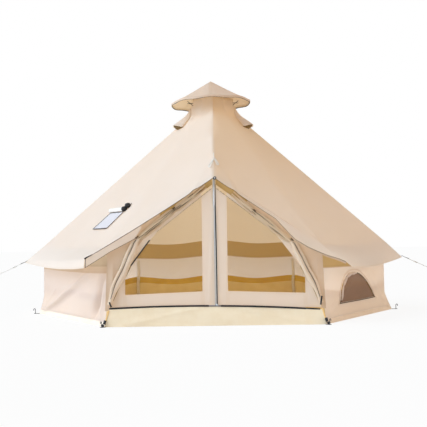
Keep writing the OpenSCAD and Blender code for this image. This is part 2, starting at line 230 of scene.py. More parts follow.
# %% Canvas finish
WEAVE, SLUB_LONG, SLUB_FINE = 0.0024, 14, 420
SEAM_BAND, SEAM_EDGE = 0.022, 0.003
STITCH_ROWS, STITCH, STITCH_SHARE, THREAD = (0.005, 0.017), 0.008, 0.65, 0.002
# Damp blotches the cloth up to this height
DAMP_TOP = 0.45
# Painted shade that darkens and warms the top of the roof: its colour, and the heights between which it
# sets in
TOP_SHADE, TOP_SHADE_FROM = (220, 196, 164), (1.1, 2.5)


def stitched(finish):
    """1 on the stitches beside a seam, and 1 on the band where the cloth lies twice there."""
    run, edge = finish.map("seam")
    first, second = [edge.near(row, THREAD) for row in STITCH_ROWS]
    dash = (run / STITCH).fraction() < STITCH_SHARE
    return first.most(second) * dash, 1 - edge.rise(SEAM_BAND, SEAM_BAND + SEAM_EDGE)


def crossed(u, v, pitch):
    """Two sets of threads a pitch apart that cross, from -1 to 1."""
    return (u * (TAU / pitch)).sine() * (v * (TAU / pitch)).sine()


def canvas(name, light, dark, glow, share, top_shade_share=0.0):
    """Woven cotton: two yarn colours, what comes through and how much, and how much painted shade darkens
    its top.
    """
    f = Finish(name)
    u, v = f.map("cloth")
    weave = crossed(u, v, WEAVE)
    slub = f.noise(f.vector(u * SLUB_LONG, v * SLUB_FINE), 1.0)
    slub = slub + f.noise(f.vector(u * SLUB_FINE, v * SLUB_LONG), 1.0)
    blotch = f.noise(f.place(), 1.7, 4.0, 0.6)
    stitches, band = stitched(f)
    height = f.parts(f.place())[2]
    low = 1 - height.rise(0.0, DAMP_TOP)
    tone = blotch * 0.5 + slub * 0.16 + weave * 0.03 + band * 0.22 + low * blotch * 0.35
    colour = f.mixed(tone.rise(0.1, 1.0), light, dark)
    colour = f.mixed(stitches * 0.55, colour, dark)
    # Painted shade: darker and warmer towards the top
    if top_shade_share:
        colour = f.mixed(height.rise(*TOP_SHADE_FROM) * top_shade_share, colour, TOP_SHADE)
    relief = f.bump(weave * 0.4 + slub * 0.9 + band * 1.5 - stitches * 1.2, 0.0007, 0.6)
    face = f.surface(
        base_color=colour, roughness=0.92, sheen_weight=0.12, sheen_roughness=0.6, normal=relief
    )
    through = f.add("BsdfTranslucent", {"Color": paint(glow), "Normal": relief})
    return f.done(f.blend(share, face, through))


# Each canvas: light and dark yarn, what comes through it, how much, and last, where given, its share of
# painted top shade
CANVAS = canvas("canvas", (245, 240, 236), (236, 227, 217), (253, 236, 214), 0.38, 0.16)
BACK_CANVAS = canvas("canvas_back", (239, 229, 216), (230, 216, 198), (246, 222, 188), 0.37, 0.2)
# Painted shade for the right side of the roof: the same canvas with more of the darker top tint
RIGHT_SHADE_CANVAS = canvas("canvas_right_shade", (245, 239, 233), (236, 226, 213), (253, 233, 206), 0.38, 0.60)
# Lit and shaded copies of the wall canvas: painted shade dims the left front wall, which the key lamp
# lights most, and painted light brightens the other walls
DIMMED_WALL = canvas("canvas_wall", (236, 227, 224), (226, 213, 207), (252, 234, 214), 0.36)
BRIGHTENED_WALL = canvas("canvas_wall_pale", (251, 247, 246), (245, 238, 235), (255, 244, 234), 0.36)
# Painted shade under the eave on the outside of the left front wall
WALL_SHADE_CANVAS = canvas("canvas_wall_shade", (218, 200, 174), (202, 180, 150), (206, 178, 136), 0.15)
# Painted shade: a darker canvas for the front walls under the roof's edge, the edge of the walls' shadow
# band and the right valance
SHADED_FRONT_CANVAS = canvas("canvas_front_shaded", (226, 208, 190), (212, 191, 170), (234, 208, 172), 0.30)
CAP_CANVAS = canvas("canvas_cap", (231, 213, 198), (214, 193, 172), (236, 204, 154), 0.28)
ROLL_CANVAS = canvas("canvas_roll", (248, 234, 214), (238, 218, 194), (244, 216, 180), 0.3)
# Painted shadow of the eave: the dark band at the top of the walls
SHADOW_CANVAS = canvas("canvas_shadow_band", (214, 188, 132), (197, 168, 112), (220, 185, 118), 0.25)
# Painted shadow: olive canvas for the band of the front walls under the roof's lip
GABLE_SHADOW_CANVAS = canvas("canvas_gable_shadow", (206, 176, 118), (188, 156, 98), (196, 160, 96), 0.2)
# Painted shade: a darker canvas for the rolled doors where they lie under the roof's edge
SHADE_CANVAS = canvas("canvas_shade", (236, 213, 182), (220, 194, 158), (228, 196, 150), 0.25)
print("canvas: yarn", WEAVE, "m, stitch", STITCH, "m, seam", SEAM_BAND, "m")

# %% [markdown]
# The netting of doors and window is a fine brown mesh. Its threads cover a
# part of the view and the holes show what is behind, so the weave drives the
# alpha. Threads made as a mesh would take millions of faces.

# %% Netting finish
NET_PITCH = 0.004


def netting(name, light, dark, cover):
    """cover is how broad a thread with its soft edges is, in pitches. 3 leaves no clear hole."""
    f = Finish(name)
    across, down = [(way / NET_PITCH).fraction() for way in f.map("cloth")]
    threads = across.near(0.5, cover / 2).most(down.near(0.5, cover / 2))
    colour = f.mixed(f.noise(f.place(), 3.0), light, dark)
    relief = f.bump(threads, 0.0005)
    return f.done(f.surface(base_color=colour, roughness=0.8, alpha=threads, normal=relief))


NETTING = netting("netting", (158, 136, 108), (174, 152, 122), 0.17)
WINDOW_NETTING = netting("window_netting", (138, 108, 86), (126, 98, 78), 3.0)
# Brown netting closes each vent; drawn dark and without holes, it also paints the shade inside the hood's
# mouth
VENT_NETTING = netting("vent_netting", (128, 102, 56), (108, 84, 44), 3.0)
print("netting: threads", NET_PITCH, "m apart")

# %% [markdown]
# The groundsheet is coated cloth: a fine ribbed weave under a slight gloss,
# scuffed where feet drag. Webbing, zips and binding are woven tape. The small
# pieces have no map of their own worth drawing on, so tape, metal and rope
# take their pattern from the place in space.

# %% Coated sheet, webbing, metal, rope
RIB, DRAWN_ACROSS, DRAWN_ALONG, STRAND = 0.003, 300, 6, TAU / 1100


def coated(name, light, dark, gloss):
    f = Finish(name)
    rib = crossed(*f.map("cloth"), RIB)
    scuff = f.noise(f.place(), 6.0, 5.0, 0.65)
    stitches, band = stitched(f)
    colour = f.mixed(scuff.rise(0.2, 0.9), light, dark)
    colour = f.mixed(stitches * 0.6, colour, dark)
    relief = f.bump(rib * 0.4 + scuff * 0.8 + band, 0.0008, 0.3)
    return f.done(f.surface(base_color=colour, roughness=scuff * 0.25 + (1 - gloss), normal=relief))


def tape(name, light, dark, pitch=0.003):
    """Woven webbing, binding or zip tape."""
    f = Finish(name)
    x, y, z = f.parts(f.place())
    twill = crossed(x + y + z, x - y + z, pitch)
    wear = f.noise(f.place(), 30.0, 4.0)
    colour = f.mixed(twill * 0.25 + wear * 0.6, light, dark)
    relief = f.bump(twill, 0.0006)
    return f.done(f.surface(base_color=colour, roughness=wear * 0.2 + 0.6, normal=relief))


def metal(name, light, dark, roughness):
    f = Finish(name)
    x, y, z = f.parts(f.place())
    drawn = f.noise(f.vector(x * DRAWN_ACROSS, y * DRAWN_ACROSS, z * DRAWN_ALONG), 1.0, 2.0)
    stain = f.noise(f.place(), 9.0, 5.0, 0.6)
    colour = f.mixed(drawn * 0.4 + stain * 0.5, light, dark)
    rough, relief = stain * 0.2 + roughness, f.bump(drawn, 0.0003, 0.4)
    return f.done(f.surface(base_color=colour, metallic=0.85, roughness=rough, normal=relief))


def braid(name, light, dark):
    f = Finish(name)
    x, y, z = f.parts(f.place())
    strands = crossed(x + y + z * 1.7, x - y + z * 1.3, STRAND)
    wear = f.noise(f.place(), 20.0, 4.0)
    colour = f.mixed(strands * 0.3 + wear * 0.6, light, dark)
    return f.done(f.surface(base_color=colour, roughness=0.85, normal=f.bump(strands, 0.001)))


OLIVE = coated("groundsheet_olive", (250, 229, 168), (233, 208, 140), 0.45)
GOLD = coated("groundsheet_gold", (226, 190, 48), (212, 168, 32), 0.5)
CREAM = coated("groundsheet_cream", (246, 233, 208), (240, 223, 192), 0.4)
FOOT_CLOTH = coated("wall_foot", (238, 224, 208), (230, 212, 192), 0.3)
WEBBING = tape("webbing_black", (38, 37, 40), (22, 22, 24))
ZIP = tape("zip_black", (34, 34, 38), (16, 16, 18), 0.004)
GREY_TAPE = tape("tape_grey", (150, 148, 152), (112, 110, 116))
WHITE_TAPE = tape("tape_white", (250, 247, 242), (228, 222, 214))
ORANGE_TAPE = tape("tape_orange", (246, 212, 152), (236, 192, 124))
# Painted shadow for the gaps beside the rolled doors' legs
GAP_SHADE = tape("painted_gap_shade", (158, 134, 84), (134, 110, 64))
BROWN_THREAD = tape("thread_brown", (104, 82, 56), (78, 60, 38))
HEATPROOF = tape("heatproof_grey", (222, 218, 222), (204, 200, 206), 0.006)
STEEL = metal("steel_zinc", (206, 208, 212), (160, 163, 168), 0.32)
DARK_STEEL = metal("steel_dark", (84, 84, 88), (48, 48, 52), 0.4)
ROPE = braid("rope_braid", (236, 234, 228), (206, 202, 194))
print("materials:", len(bpy.data.materials))

# %% [markdown]
# ## Measures from the frame
#
# The six corners of the tent on the ground, the wall's height, the eave and
# the roof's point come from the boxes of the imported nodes. They could be
# typed in, but read from the frame they follow it when it is packed again.

# %% Measures
# A wall's top as a share of its foot, where the crown starts on a hip, a packed panel's thickness
TOP_SHARE, CROWN_SHARE, PANEL_T = 0.97, 0.13, 0.006


def box(node):
    low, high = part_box(node)
    return np.array(low), np.array(high)


def unit(vector):
    vector = np.asarray(vector, float)
    return vector / np.linalg.norm(vector, axis=-1, keepdims=True)


HALF_FRONT, HALF_DEPTH, WALL_H = box("wall_back")[1]
HALF_SPAN = -box("wall_left_back")[0][0]
EAVE_LOW = box("roof_back")[0][2]
EAVE_OUT = box("roof_back")[1][1] - TOP_SHARE * HALF_DEPTH
CROWN_Z = box("roof_back")[1][2] - PANEL_T
ROOF_TOP = (CROWN_Z - CROWN_SHARE * WALL_H) / (1 - CROWN_SHARE) + PANEL_T / 2
APEX = np.array([0.0, 0.0, ROOF_TOP])
HALF_PLAN = np.array([(HALF_SPAN, 0), (HALF_FRONT, HALF_DEPTH), (-HALF_FRONT, HALF_DEPTH)])
PLAN = np.concatenate([HALF_PLAN, -HALF_PLAN])
SIDES = ("right_back", "back", "left_back", "left_front", "front", "right_front")
BACK_SIDE, STOVE_SIDE, WINDOW_SIDE = 1, 3, 5
CLOSED_SIDES = (0, 1, 2, 3, 5)
GROUND = np.column_stack([PLAN, np.zeros(6)])
TOP = np.column_stack([PLAN * TOP_SHARE, np.full(6, WALL_H)])
ALONG = unit(np.roll(GROUND, -1, 0) - GROUND)
OUT = np.column_stack([ALONG[:, 1], -ALONG[:, 0], np.zeros(6)])
REACH = (OUT * GROUND).sum(1)
# Both ends of each wall, measured along it
SIDE_X = np.stack([(GROUND * ALONG).sum(1), (np.roll(GROUND, -1, 0) * ALONG).sum(1)], -1)
EAVE = []
for i in range(6):
    mitre = (OUT[i - 1] + OUT[i]) / (1 + OUT[i - 1] @ OUT[i])
    EAVE.append(TOP[i] + mitre * EAVE_OUT + (0, 0, EAVE_LOW - WALL_H))
print("wall", round(WALL_H, 3), "eave out", round(EAVE_OUT, 3), "roof top", round(ROOF_TOP, 3))

# %% [markdown]
# ## From grids of points to cloth
#
# Every cloth is one or more grids of points. Points that coincide are welded,
# so that the panels of the roof become one sheet. Each grid carries its own
# UV maps, because a seam is where they meet. Blender's cloth simulation could
# drape them, but a pitched tent is stretched: its shape follows from seams,
# ropes and poles, and a formula gives the same shape every time.

# %% Grids and their maps
WELD = 1e4


def grid(points, cloth, seam=None, slot=0):
    if seam is None:
        seam = np.ones(points.shape[:2] + (2,))
    return {"points": points, "cloth": cloth, "seam": seam, "slot": slot}


def run_along(points, axis=0):
    """Length along lines of points, from the first point of each."""
    steps = np.linalg.norm(np.diff(points, axis=axis), axis=-1)
    start = np.zeros_like(np.take(steps, [0], axis))
    return np.concatenate([start, np.cumsum(steps, axis)], axis)


def panel_maps(points, edge_left=True, edge_right=True):
    """UV maps of a panel: lengths along its rows and columns, and its sewn edges."""
    across, down = run_along(points, 1), run_along(points, 0)
    width, height = across[:, -1:], down[-1:, :]
    edge, run = np.broadcast_arrays(height - down, across)
    for sewn, gap in ((edge_left, across), (edge_right, width - across)):
        if sewn:
            run = np.where(gap < edge, down, run)
            edge = np.minimum(edge, gap)
    return np.stack([across - width / 2, down], -1), np.stack([run, edge], -1)


# %% Cloth from grids
def finish_piece(piece, materials, smooth=True):
    for material in materials:
        piece.data.materials.append(material)
    if smooth:
        piece.data.shade_smooth()
    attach(piece, "root")
    return piece


def new_mesh(name, points, faces):
    mesh = bpy.data.meshes.new(name)
    mesh.from_pydata(np.asarray(points, float).tolist(), [], [list(map(int, f)) for f in faces])
    piece = bpy.data.objects.new(name, mesh)
    bpy.context.scene.collection.objects.link(piece)
    return piece


def cloth_piece(name, grids, materials, keep=None):
    """Welds grids into one cloth. keep(points) says which quads stay, by centre."""
    points = np.concatenate([g["points"].reshape(-1, 3) for g in grids])
    maps = {m: np.concatenate([g[m].reshape(-1, 2) for g in grids]) for m in ("cloth", "seam")}
    quads, slots, start = [], [], 0
    for g in grids:
        rows, columns = g["points"].shape[:2]
        at = start + np.arange(rows * columns).reshape(rows, columns)
        corners = [at[:-1, :-1], at[:-1, 1:], at[1:, 1:], at[1:, :-1]]
        quads.append(np.stack(corners, -1).reshape(-1, 4))
        slots += [g["slot"]] * len(quads[-1])
        start += rows * columns
    quads, slots = np.concatenate(quads), np.array(slots)
    if keep is not None:
        stays = keep(points[quads].mean(1))
        quads, slots = quads[stays], slots[stays]
    places = np.round(points * WELD).astype(np.int64)
    _, first, welded = np.unique(places, axis=0, return_index=True, return_inverse=True)
    welded = welded.reshape(-1)
    faces, corners, kinds = [], [], []
    for quad, kind in zip(quads, slots):
        loop = []
        for corner in quad:
            if welded[corner] not in [welded[c] for c in loop]:
                loop.append(corner)
        if len(loop) > 2:
            faces.append(welded[loop])
            corners += loop
            kinds.append(kind)
    piece = new_mesh(name, points[first], faces)
    for key, values in maps.items():
        layer = piece.data.uv_layers.new(name=key)
        layer.data.foreach_set("uv", values[corners].reshape(-1))
    piece.data.polygons.foreach_set("material_index", kinds)
    return finish_piece(piece, materials)


# %% [markdown]
# Three small shapes serve all folds: a soft step, a crease along a line, and
# the slow unevenness of cloth that was tensioned by hand.


# %% Steps, creases and ripples
def smooth_step(x, low, high):
    t = np.clip((x - low) / (high - low), 0, 1)
    return t * t * (3 - 2 * t)


def ridge_line(x, y, start, end, width):
    """A soft crease along the line from start to end, 1 on it."""
    start, end = np.array(start), np.array(end)
    run = end - start
    share = ((x - start[0]) * run[0] + (y - start[1]) * run[1]) / (run @ run)
    off = ((x - start[0]) * run[1] - (y - start[1]) * run[0]) / np.sqrt(run @ run)
    fade = smooth_step(share, -0.15, 0.1) * (1 - smooth_step(share, 0.85, 1.15))
    return np.exp(-((off / width) ** 2)) * fade


def ripple(points):
    """Four crossing waves, about -1 to 1."""
    x, y, z = np.moveaxis(points, -1, 0)
    return (
        np.sin(5.1 * x + 2.3 * y + 3.7 * z + 0.4)
        + np.sin(-3.3 * x + 6.1 * y - 4.9 * z + 2.1)
        + 0.6 * np.sin(9.7 * x - 7.3 * y + 8.1 * z + 1.3)
        + 0.4 * np.sin(13.1 * x + 11.9 * y - 15.7 * z + 5.2)
    ) / 3


# %% [markdown]
# ## Roof
#
# The roof is one sheet sewn from seven panels that hang from the centre pole.
# Between two hips the canvas sinks a little, and its hem below the wall's top
# sinks more. At the front two panels run out over the gable to a point on the
# door pole. Their left edge is taut; the right one has slipped and hangs in a
# swag after its last toggle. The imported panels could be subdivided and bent,
# but points drawn between two hips keep the seams exactly where they are sewn.

# %% Hips and ridge
CROWN_R, COLLAR_IN, COLLAR_TOP, COLLAR_V = 0.315, 0.84, 2.855, 0.06
POLE_HOLE, POLE_RISE, CROWN_BEND = 0.022, 0.03, 0.035
# Share of a front hip below the wall's top that reaches its tip; the rest hangs
TIP_SHARE = 0.7
LIP = 1 + TIP_SHARE
LIP_PEAK = np.array([0.0, -2.118, 1.672])
FRONT_TIP = {4: np.array([-1.463, -2.205, 0.768]), 5: np.array([1.470, -2.205, 0.702])}
FRONT_HEM = {4: np.array([-1.470, -2.216, 0.668]), 5: np.array([1.540, -2.214, 0.644])}
# The rope pulls the right corner of the eave in
TIP_PULL = {0: np.array([-0.045, 0.0, 0.008])}
print("front peak at", LIP_PEAK, "crown ring", CROWN_R, "m from the pole")


def crown_line(v, end):
    """Points on a line of the roof: pole, collar, a soft bend at the crown's ring, then end."""
    low = CROWN_R / np.linalg.norm(end[:2])
    ring = APEX + (end - APEX) * low
    inner = ring * (COLLAR_IN, COLLAR_IN, 0) + (0, 0, COLLAR_TOP)
    pole = unit(ring * (1, 1, 0)) * POLE_HOLE + (0, 0, COLLAR_TOP + POLE_RISE)
    bend = CROWN_BEND * smooth_step(v, COLLAR_V, 0.10) * (1 - smooth_step(v, 0.25, 0.4))
    near = v[..., None] + bend[..., None] * np.linspace(-1, 1, 7)
    lines = zip(pole, inner, ring, end)
    return np.stack([np.interp(near, (0, COLLAR_V, low, 1), line).mean(-1) for line in lines], -1)


def corner_at(i, v):
    """A point on hip i. v is 0 at the pole, 1 at the wall and 2 at the hem."""
    i %= 6
    upper = crown_line(v, TOP[i])
    w = np.clip(v - 1, 0, 1)[..., None]
    if i not in FRONT_TIP:
        return upper + (EAVE[i] + TIP_PULL.get(i, 0) - TOP[i]) * w
    reach = np.minimum(w / TIP_SHARE, 1)
    hang = np.clip((w - TIP_SHARE) / (1 - TIP_SHARE), 0, 1)
    return upper + (FRONT_TIP[i] - TOP[i]) * reach + (FRONT_HEM[i] - FRONT_TIP[i]) * hang


# %% Side panels
ROOF_SAG, GABLE_SAG, HEM_SAG, RIPPLE = 0.030, 0.018, 0.022, 0.0035
ROOF_OUT = unit(np.cross(TOP - APEX, np.roll(TOP, -1, 0) - APEX))
print("back panel slopes", round(math.degrees(math.acos(ROOF_OUT[BACK_SIDE][2])), 1), "degrees")


def slack(i, s):
    """How far a panel hangs between its two hips. The back is tied in the middle too."""
    if i == BACK_SIDE:
        return (1 - np.cos(2 * TAU * s)) * 0.8 - 2 * np.sin(math.pi * s) ** 2
    return 4 * s * (1 - s)


def sunk(points, s, v, sag):
    """How far out a panel's points lie: sunk between its hips, and uneven."""
    steady = smooth_step(np.minimum(s, 1 - s), 0.0, 0.25)
    return RIPPLE * ripple(points) * steady - sag * np.sin(np.minimum(v, 1) * math.pi / 2) ** 1.5


def roof_at(i, s, v, lift=0.0):
    """Points on roof side i: s along the wall, v down the slope as in corner_at."""
    s, v = np.broadcast_arrays(np.asarray(s, float), np.asarray(v, float))
    side, hang = s[..., None], slack(i, s)
    points = corner_at(i, v) * (1 - side) + corner_at(i + 1, v) * side
    depth = sunk(points, s, v, ROOF_SAG * hang) + lift
    points = points + ROOF_OUT[i] * depth[..., None]
    points[..., 2] -= HEM_SAG * hang * np.clip(v - 1, 0, 1)
    return points


# %% Front panels
# The swag of the right lip: where it starts, how far out it swings, its drop by place across
LIP_FROM, SWAG_OUT = 0.965, 0.8
SWAG_X = (0.0, 0.70, 0.80, 0.906, 1.051, 1.253, 1.398, 1.465)
SWAG_Z = (0.0, 0.0, -0.050, -0.100, -0.094, -0.056, -0.012, 0.0)
# Where tapes gather the ridge
GATHER = crown_line(np.array(0.815), LIP_PEAK)
GATHER_Y = GATHER[1]
# A fold rays out below the gathered place, and the cloth is dented beside it
RAY_OUT, RAY_LINE = 0.018, ((0.02, GATHER_Y), (0.24, -2.14))
DENT_IN, DENT_LINE = 0.010, ((0.0, GATHER_Y + 0.10), (0.10, GATHER_Y - 0.12))
print("ridge gathered at", GATHER.round(3))


def gable_roof_at(i, s, v, lift=0.0):
    """Points on a front roof panel: s from the hip at corner i to the ridge."""
    s, v = np.broadcast_arrays(np.asarray(s, float), np.asarray(v, float))
    plain = 1 - COLLAR_V
    q = np.where(v < COLLAR_V, v, COLLAR_V + (v - COLLAR_V) * plain / (plain + TIP_SHARE))
    side = s[..., None]
    points = corner_at(i, v) * (1 - side) + crown_line(q, LIP_PEAK) * side
    out = unit(np.cross(TOP[i] - APEX, LIP_PEAK - APEX)) * (1 if i == 4 else -1)
    depth = sunk(points, s, q, GABLE_SAG * slack(i, s)) + lift
    x, y = np.abs(points[..., 0]), points[..., 1]
    below = smooth_step(q, 0.80, 0.90)
    depth = depth + RAY_OUT * below * ridge_line(x, y, *RAY_LINE, 0.035)
    depth = depth - DENT_IN * ridge_line(x, y, *DENT_LINE, 0.03)
    points = points + out * depth[..., None]
    if i == 5:
        drop = np.interp(x, SWAG_X, SWAG_Z) * smooth_step(q, LIP_FROM, 1.0)
        points = points + np.array((0, -SWAG_OUT * out[2] / out[1], 1)) * drop[..., None]
    return points


# %% [markdown]
# No seam runs down the two front hips: the cloth there bends softly from the
# side to the gable. A bevel would round them evenly. `ease` relaxes each point
# towards its neighbours instead, as a stretched cloth would, where a weight
# allows it.

# %% Soft hips
EASE_STEP, EASE_ROUNDS = 0.6, 120


def ease(piece, weight):
    """Relaxes a mesh where weight(points) is above 0."""
    mesh = piece.data
    points = np.empty(3 * len(mesh.vertices))
    mesh.vertices.foreach_get("co", points)
    points = points.reshape(-1, 3)
    edges = np.empty(2 * len(mesh.edges), int)
    mesh.edges.foreach_get("vertices", edges)
    one, two = edges.reshape(-1, 2).T
    count = np.bincount(one, minlength=len(points)) + np.bincount(two, minlength=len(points))
    share, before = EASE_STEP * weight(points)[:, None], points
    for _ in range(EASE_ROUNDS):
        total = np.zeros_like(points)
        np.add.at(total, one, points[two])
        np.add.at(total, two, points[one])
        points = points + share * (total / count[:, None] - points)
    mesh.vertices.foreach_set("co", points.reshape(-1))
    mesh.update()
    print(f"{piece.name}: eased by up to {np.linalg.norm(points - before, axis=1).max():.3f} m")


def front_hip_share(points):
    """1 beside the front hips, 0 half a metre away, at the crown and at the eave."""
    share = np.zeros(len(points))
    for i in FRONT_TIP:
        run = TOP[i] - APEX
        along = ((points - APEX) @ run) / (run @ run)
        off = np.linalg.norm(points - APEX - along[:, None] * run, axis=1)
        inner = smooth_step(along, 0.16, 0.3) * (1 - smooth_step(along, 0.72, 0.95))
        share = np.maximum(share, (1 - smooth_step(off, 0.15, 0.60)) * inner)
    return share


# %% Sew the roof
ROOF_ROWS, EAVE_ROWS, SIDE_COLUMNS, GABLE_COLUMNS = 66, 10, 61, 41
CROWN_V = (0.0, 0.03, COLLAR_V, 0.08, 0.10, 0.115)
EAVE_V = 1 + np.linspace(0, 1, EAVE_ROWS + 1)[1:]
ROOF_V = np.concatenate([CROWN_V, np.linspace(0.13, 1, ROOF_ROWS), EAVE_V])
# More rows just above the lip, where the swag bends
GABLE_V = np.union1d(ROOF_V[ROOF_V < LIP + 1e-6], np.linspace(1.64, 1.69, 6))
# Which of the roof's finishes a panel has: plain; on the right, more painted top shade; at the back, a
# darker, warmer canvas
PLAIN, RIGHT_SHADED, DARKER_BACK = range(3)
SIDE_SLOT = {STOVE_SIDE: PLAIN, WINDOW_SIDE: RIGHT_SHADED}

roof_grids = []
for i in CLOSED_SIDES:
    points = roof_at(i, np.linspace(0, 1, SIDE_COLUMNS)[None], ROOF_V[:, None])
    maps = panel_maps(points, i != WINDOW_SIDE, i != STOVE_SIDE)
    roof_grids.append(grid(points, *maps, SIDE_SLOT.get(i, DARKER_BACK)))
for i, kind in ((4, PLAIN), (5, RIGHT_SHADED)):
    points = gable_roof_at(i, np.linspace(0, 1, GABLE_COLUMNS)[None], GABLE_V[:, None])
    if i == 5:
        points = points[:, ::-1]
    roof_grids.append(grid(points, *panel_maps(points, i == 5, i == 4), kind))
roof = cloth_piece("roof_sheet", roof_grids, [CANVAS, RIGHT_SHADE_CANVAS, BACK_CANVAS])
ease(roof, front_hip_share)
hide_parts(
    *[f"roof_{SIDES[i]}" for i in CLOSED_SIDES],
    "roof_front_left",
    "roof_front_right",
    "roof_crown",
)
print("roof:", len(roof.data.polygons), "quads")

# %% [markdown]
# ## Walls
#
# A wall hangs from the sewn line under the eave, so its top row is the roof's
# row there. Its foot is pegged at the corners, which pulls the lower corners
# out and leaves creases that run from the peg up into the cloth. Its top band
# is painted shadow, the eave's shade on the wall, with a strip of lighter
# painted shade below it. The lowest strip is coated cloth.
# The creases could be sculpted; each is one line with a height and a width
# here, so that it can be moved by its two ends.

# %% Wall shape
CORNER_PULL, PULL_FROM, WALL_RIPPLE = 0.032, 0.22, 0.004
# A wall's lean, and the steeper one at the far corners: even part, height of the rest, its power
WALL_LEAN, CORNER_LEAN = (0.55, 0.25, 2), (0.15, 0.24, 1.2)
# Folds: size outward, from and to (along the wall from its left or right end, height), half width
LEFT_END, RIGHT_END = range(2)
PLAIN_FOLDS = (
    (0.014, RIGHT_END, (0.0, 0.0), (-0.7, 0.50), 0.05),
    (0.012, LEFT_END, (0.0, 0.02), (1.1, 0.50), 0.05),
)
STOVE_FOLDS = (
    (0.026, LEFT_END, (0.03, 0.01), (1.70, 0.60), 0.034),
    (-0.022, LEFT_END, (0.15, -0.04), (1.74, 0.52), 0.06),
    (0.010, LEFT_END, (0.10, 0.10), (0.55, 0.38), 0.02),
    (-0.105, RIGHT_END, (-0.04, 0.72), (-0.46, 0.10), 0.075),
    (0.030, RIGHT_END, (-0.01, 0.60), (-0.16, 0.10), 0.05),
)


def creases(i, x, z):
    """Folds of wall i, outward in metres, by place along it and height."""
    fold = np.zeros_like(x)
    for size, end, start, stop, width in STOVE_FOLDS if i == STOVE_SIDE else PLAIN_FOLDS:
        at = SIDE_X[i][end], 0
        fold = fold + size * ridge_line(x, z, np.add(at, start), np.add(at, stop), width)
    return fold


def leaned(h, even, low, power):
    """Share of the way from a wall's top out to its foot: an even lean, and the foot drawn out."""
    return even * (1 - h) + (1 - even) * np.clip(1 - h * WALL_H / low, 0, 1) ** power


def wall_at(i, s, h, lift=0.0):
    """Points on wall i: s along it, h from 0 on the ground to 1 under the eave."""
    s, h = np.broadcast_arrays(np.asarray(s, float), np.asarray(h, float))
    top = roof_at(i, s, 1.0)
    foot = GROUND[i] * (1 - s[..., None]) + GROUND[(i + 1) % 6] * s[..., None]
    z = h * WALL_H
    leaning, dropped = leaned(h, *WALL_LEAN), leaned(h, *CORNER_LEAN)
    corner = np.where(i in (0, 3), 1 - s, np.where(i in (2, 5), s, 0.0)) ** 6
    spread = leaning + (dropped - leaning) * corner
    points = top + (foot - top) * spread[..., None]
    points[..., 2] = top[..., 2] * h
    below = smooth_step(1 - h, 0.0, 0.2)
    if i in (0, 5):
        points[..., 0] -= CORNER_PULL * corner * np.clip(z / PULL_FROM, 0, 1) * below
    x = SIDE_X[i][0] + (SIDE_X[i][1] - SIDE_X[i][0]) * s
    steady = smooth_step(np.minimum(s, 1 - s), 0.0, 0.03) * smooth_step(1 - h, 0.0, 0.25)
    steady = steady * smooth_step(h, 0.0, 0.12)
    depth = (creases(i, x, z) + WALL_RIPPLE * ripple(points)) * steady + lift
    return points + OUT[i] * depth[..., None]


# %% Window opening
WINDOW_W, WINDOW_H, WINDOW_SKEW = 1.33, 0.34, 0.06
WINDOW_LOW = box("window_mesh")[0][2]
WINDOW_X = SIDE_X[WINDOW_SIDE].mean() - 0.015
# How full the arch is on its left and right side
ARCH_LEFT, ARCH_RIGHT = 3.0, 2.1
print("window: foot at", round(WINDOW_LOW, 3), "m, middle at", round(WINDOW_X, 3), "m")


def window_outline(n=48, grow=0.0):
    """The window's edge on its wall: a flat foot and an arched top, from foot to foot."""
    share = np.linspace(-1, 1, n)
    rise = 1 - np.abs(share) ** np.where(share < 0, ARCH_LEFT, ARCH_RIGHT)
    x = share * (WINDOW_W / 2 + grow) - WINDOW_SKEW * (1 - share**2)
    return x + WINDOW_X, rise * (WINDOW_H + grow) + WINDOW_LOW - grow * 0.3


def outside_window(points):
    x = (points * ALONG[WINDOW_SIDE]).sum(-1)
    edge = np.interp(x, *window_outline(), 0, 0)
    return (points[..., 2] <= WINDOW_LOW) | (points[..., 2] >= edge)


# %% Hang the walls
FOOT_STRIP, CUT_MORE = 0.055, 0.03
FACE, FOOT, SHADOW_BAND, SHADE_BAND, SHADE_EDGE = range(5)
# Per wall: foot of its painted shadow band, foot of the strip of lighter painted shade below it, finish
# of the band
WALL_BANDS = {i: (0.68, 0.67, SHADOW_BAND) for i in (0, 1, 2)}
WALL_BANDS[STOVE_SIDE], WALL_BANDS[WINDOW_SIDE] = (0.68, 0.60, SHADE_BAND), (0.64, 0.63, SHADOW_BAND)
for i in CLOSED_SIDES:
    columns, rows = (161, 61) if i in (STOVE_SIDE, WINDOW_SIDE) else (61, 31)
    shadow_low, soft, band = WALL_BANDS[i]
    # Strips from the top: painted shadow band, its lighter painted-shade edge, the plain face, the coated
    # foot
    strips = (WALL_H, shadow_low, band), (shadow_low, soft, SHADE_EDGE), (soft, FOOT_STRIP, FACE), (FOOT_STRIP, 0, FOOT)
    grids = []
    for high, low, kind in strips:
        high, low = high / WALL_H, low / WALL_H
        heights = np.linspace(high, low, max(4, int((high - low) * 1.2 * rows)))
        points = wall_at(i, np.linspace(0, 1, columns)[None], heights[:, None])
        grids.append(grid(points, *panel_maps(points), slot=kind))
    # Painted shade on the left front wall, painted light on the other walls
    face = DIMMED_WALL if i == STOVE_SIDE else BRIGHTENED_WALL
    finishes = [face, FOOT_CLOTH, SHADOW_CANVAS, WALL_SHADE_CANVAS, SHADED_FRONT_CANVAS]
    keep = outside_window if i == WINDOW_SIDE else None
    piece = cloth_piece(f"wall_{SIDES[i]}_cloth", grids, finishes, keep=keep)
    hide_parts(f"wall_{SIDES[i]}")
    width = SIDE_X[i][1] - SIDE_X[i][0]
    width + CUT_MORE

# %% [markdown]
# ## Front
#
# The front leans back with the walls. Its cloths could be drawn upright and
# turned afterwards. Drawn in its own plane, with x across, up along the slope
# and out towards the visitor, they stay in order one behind the other.

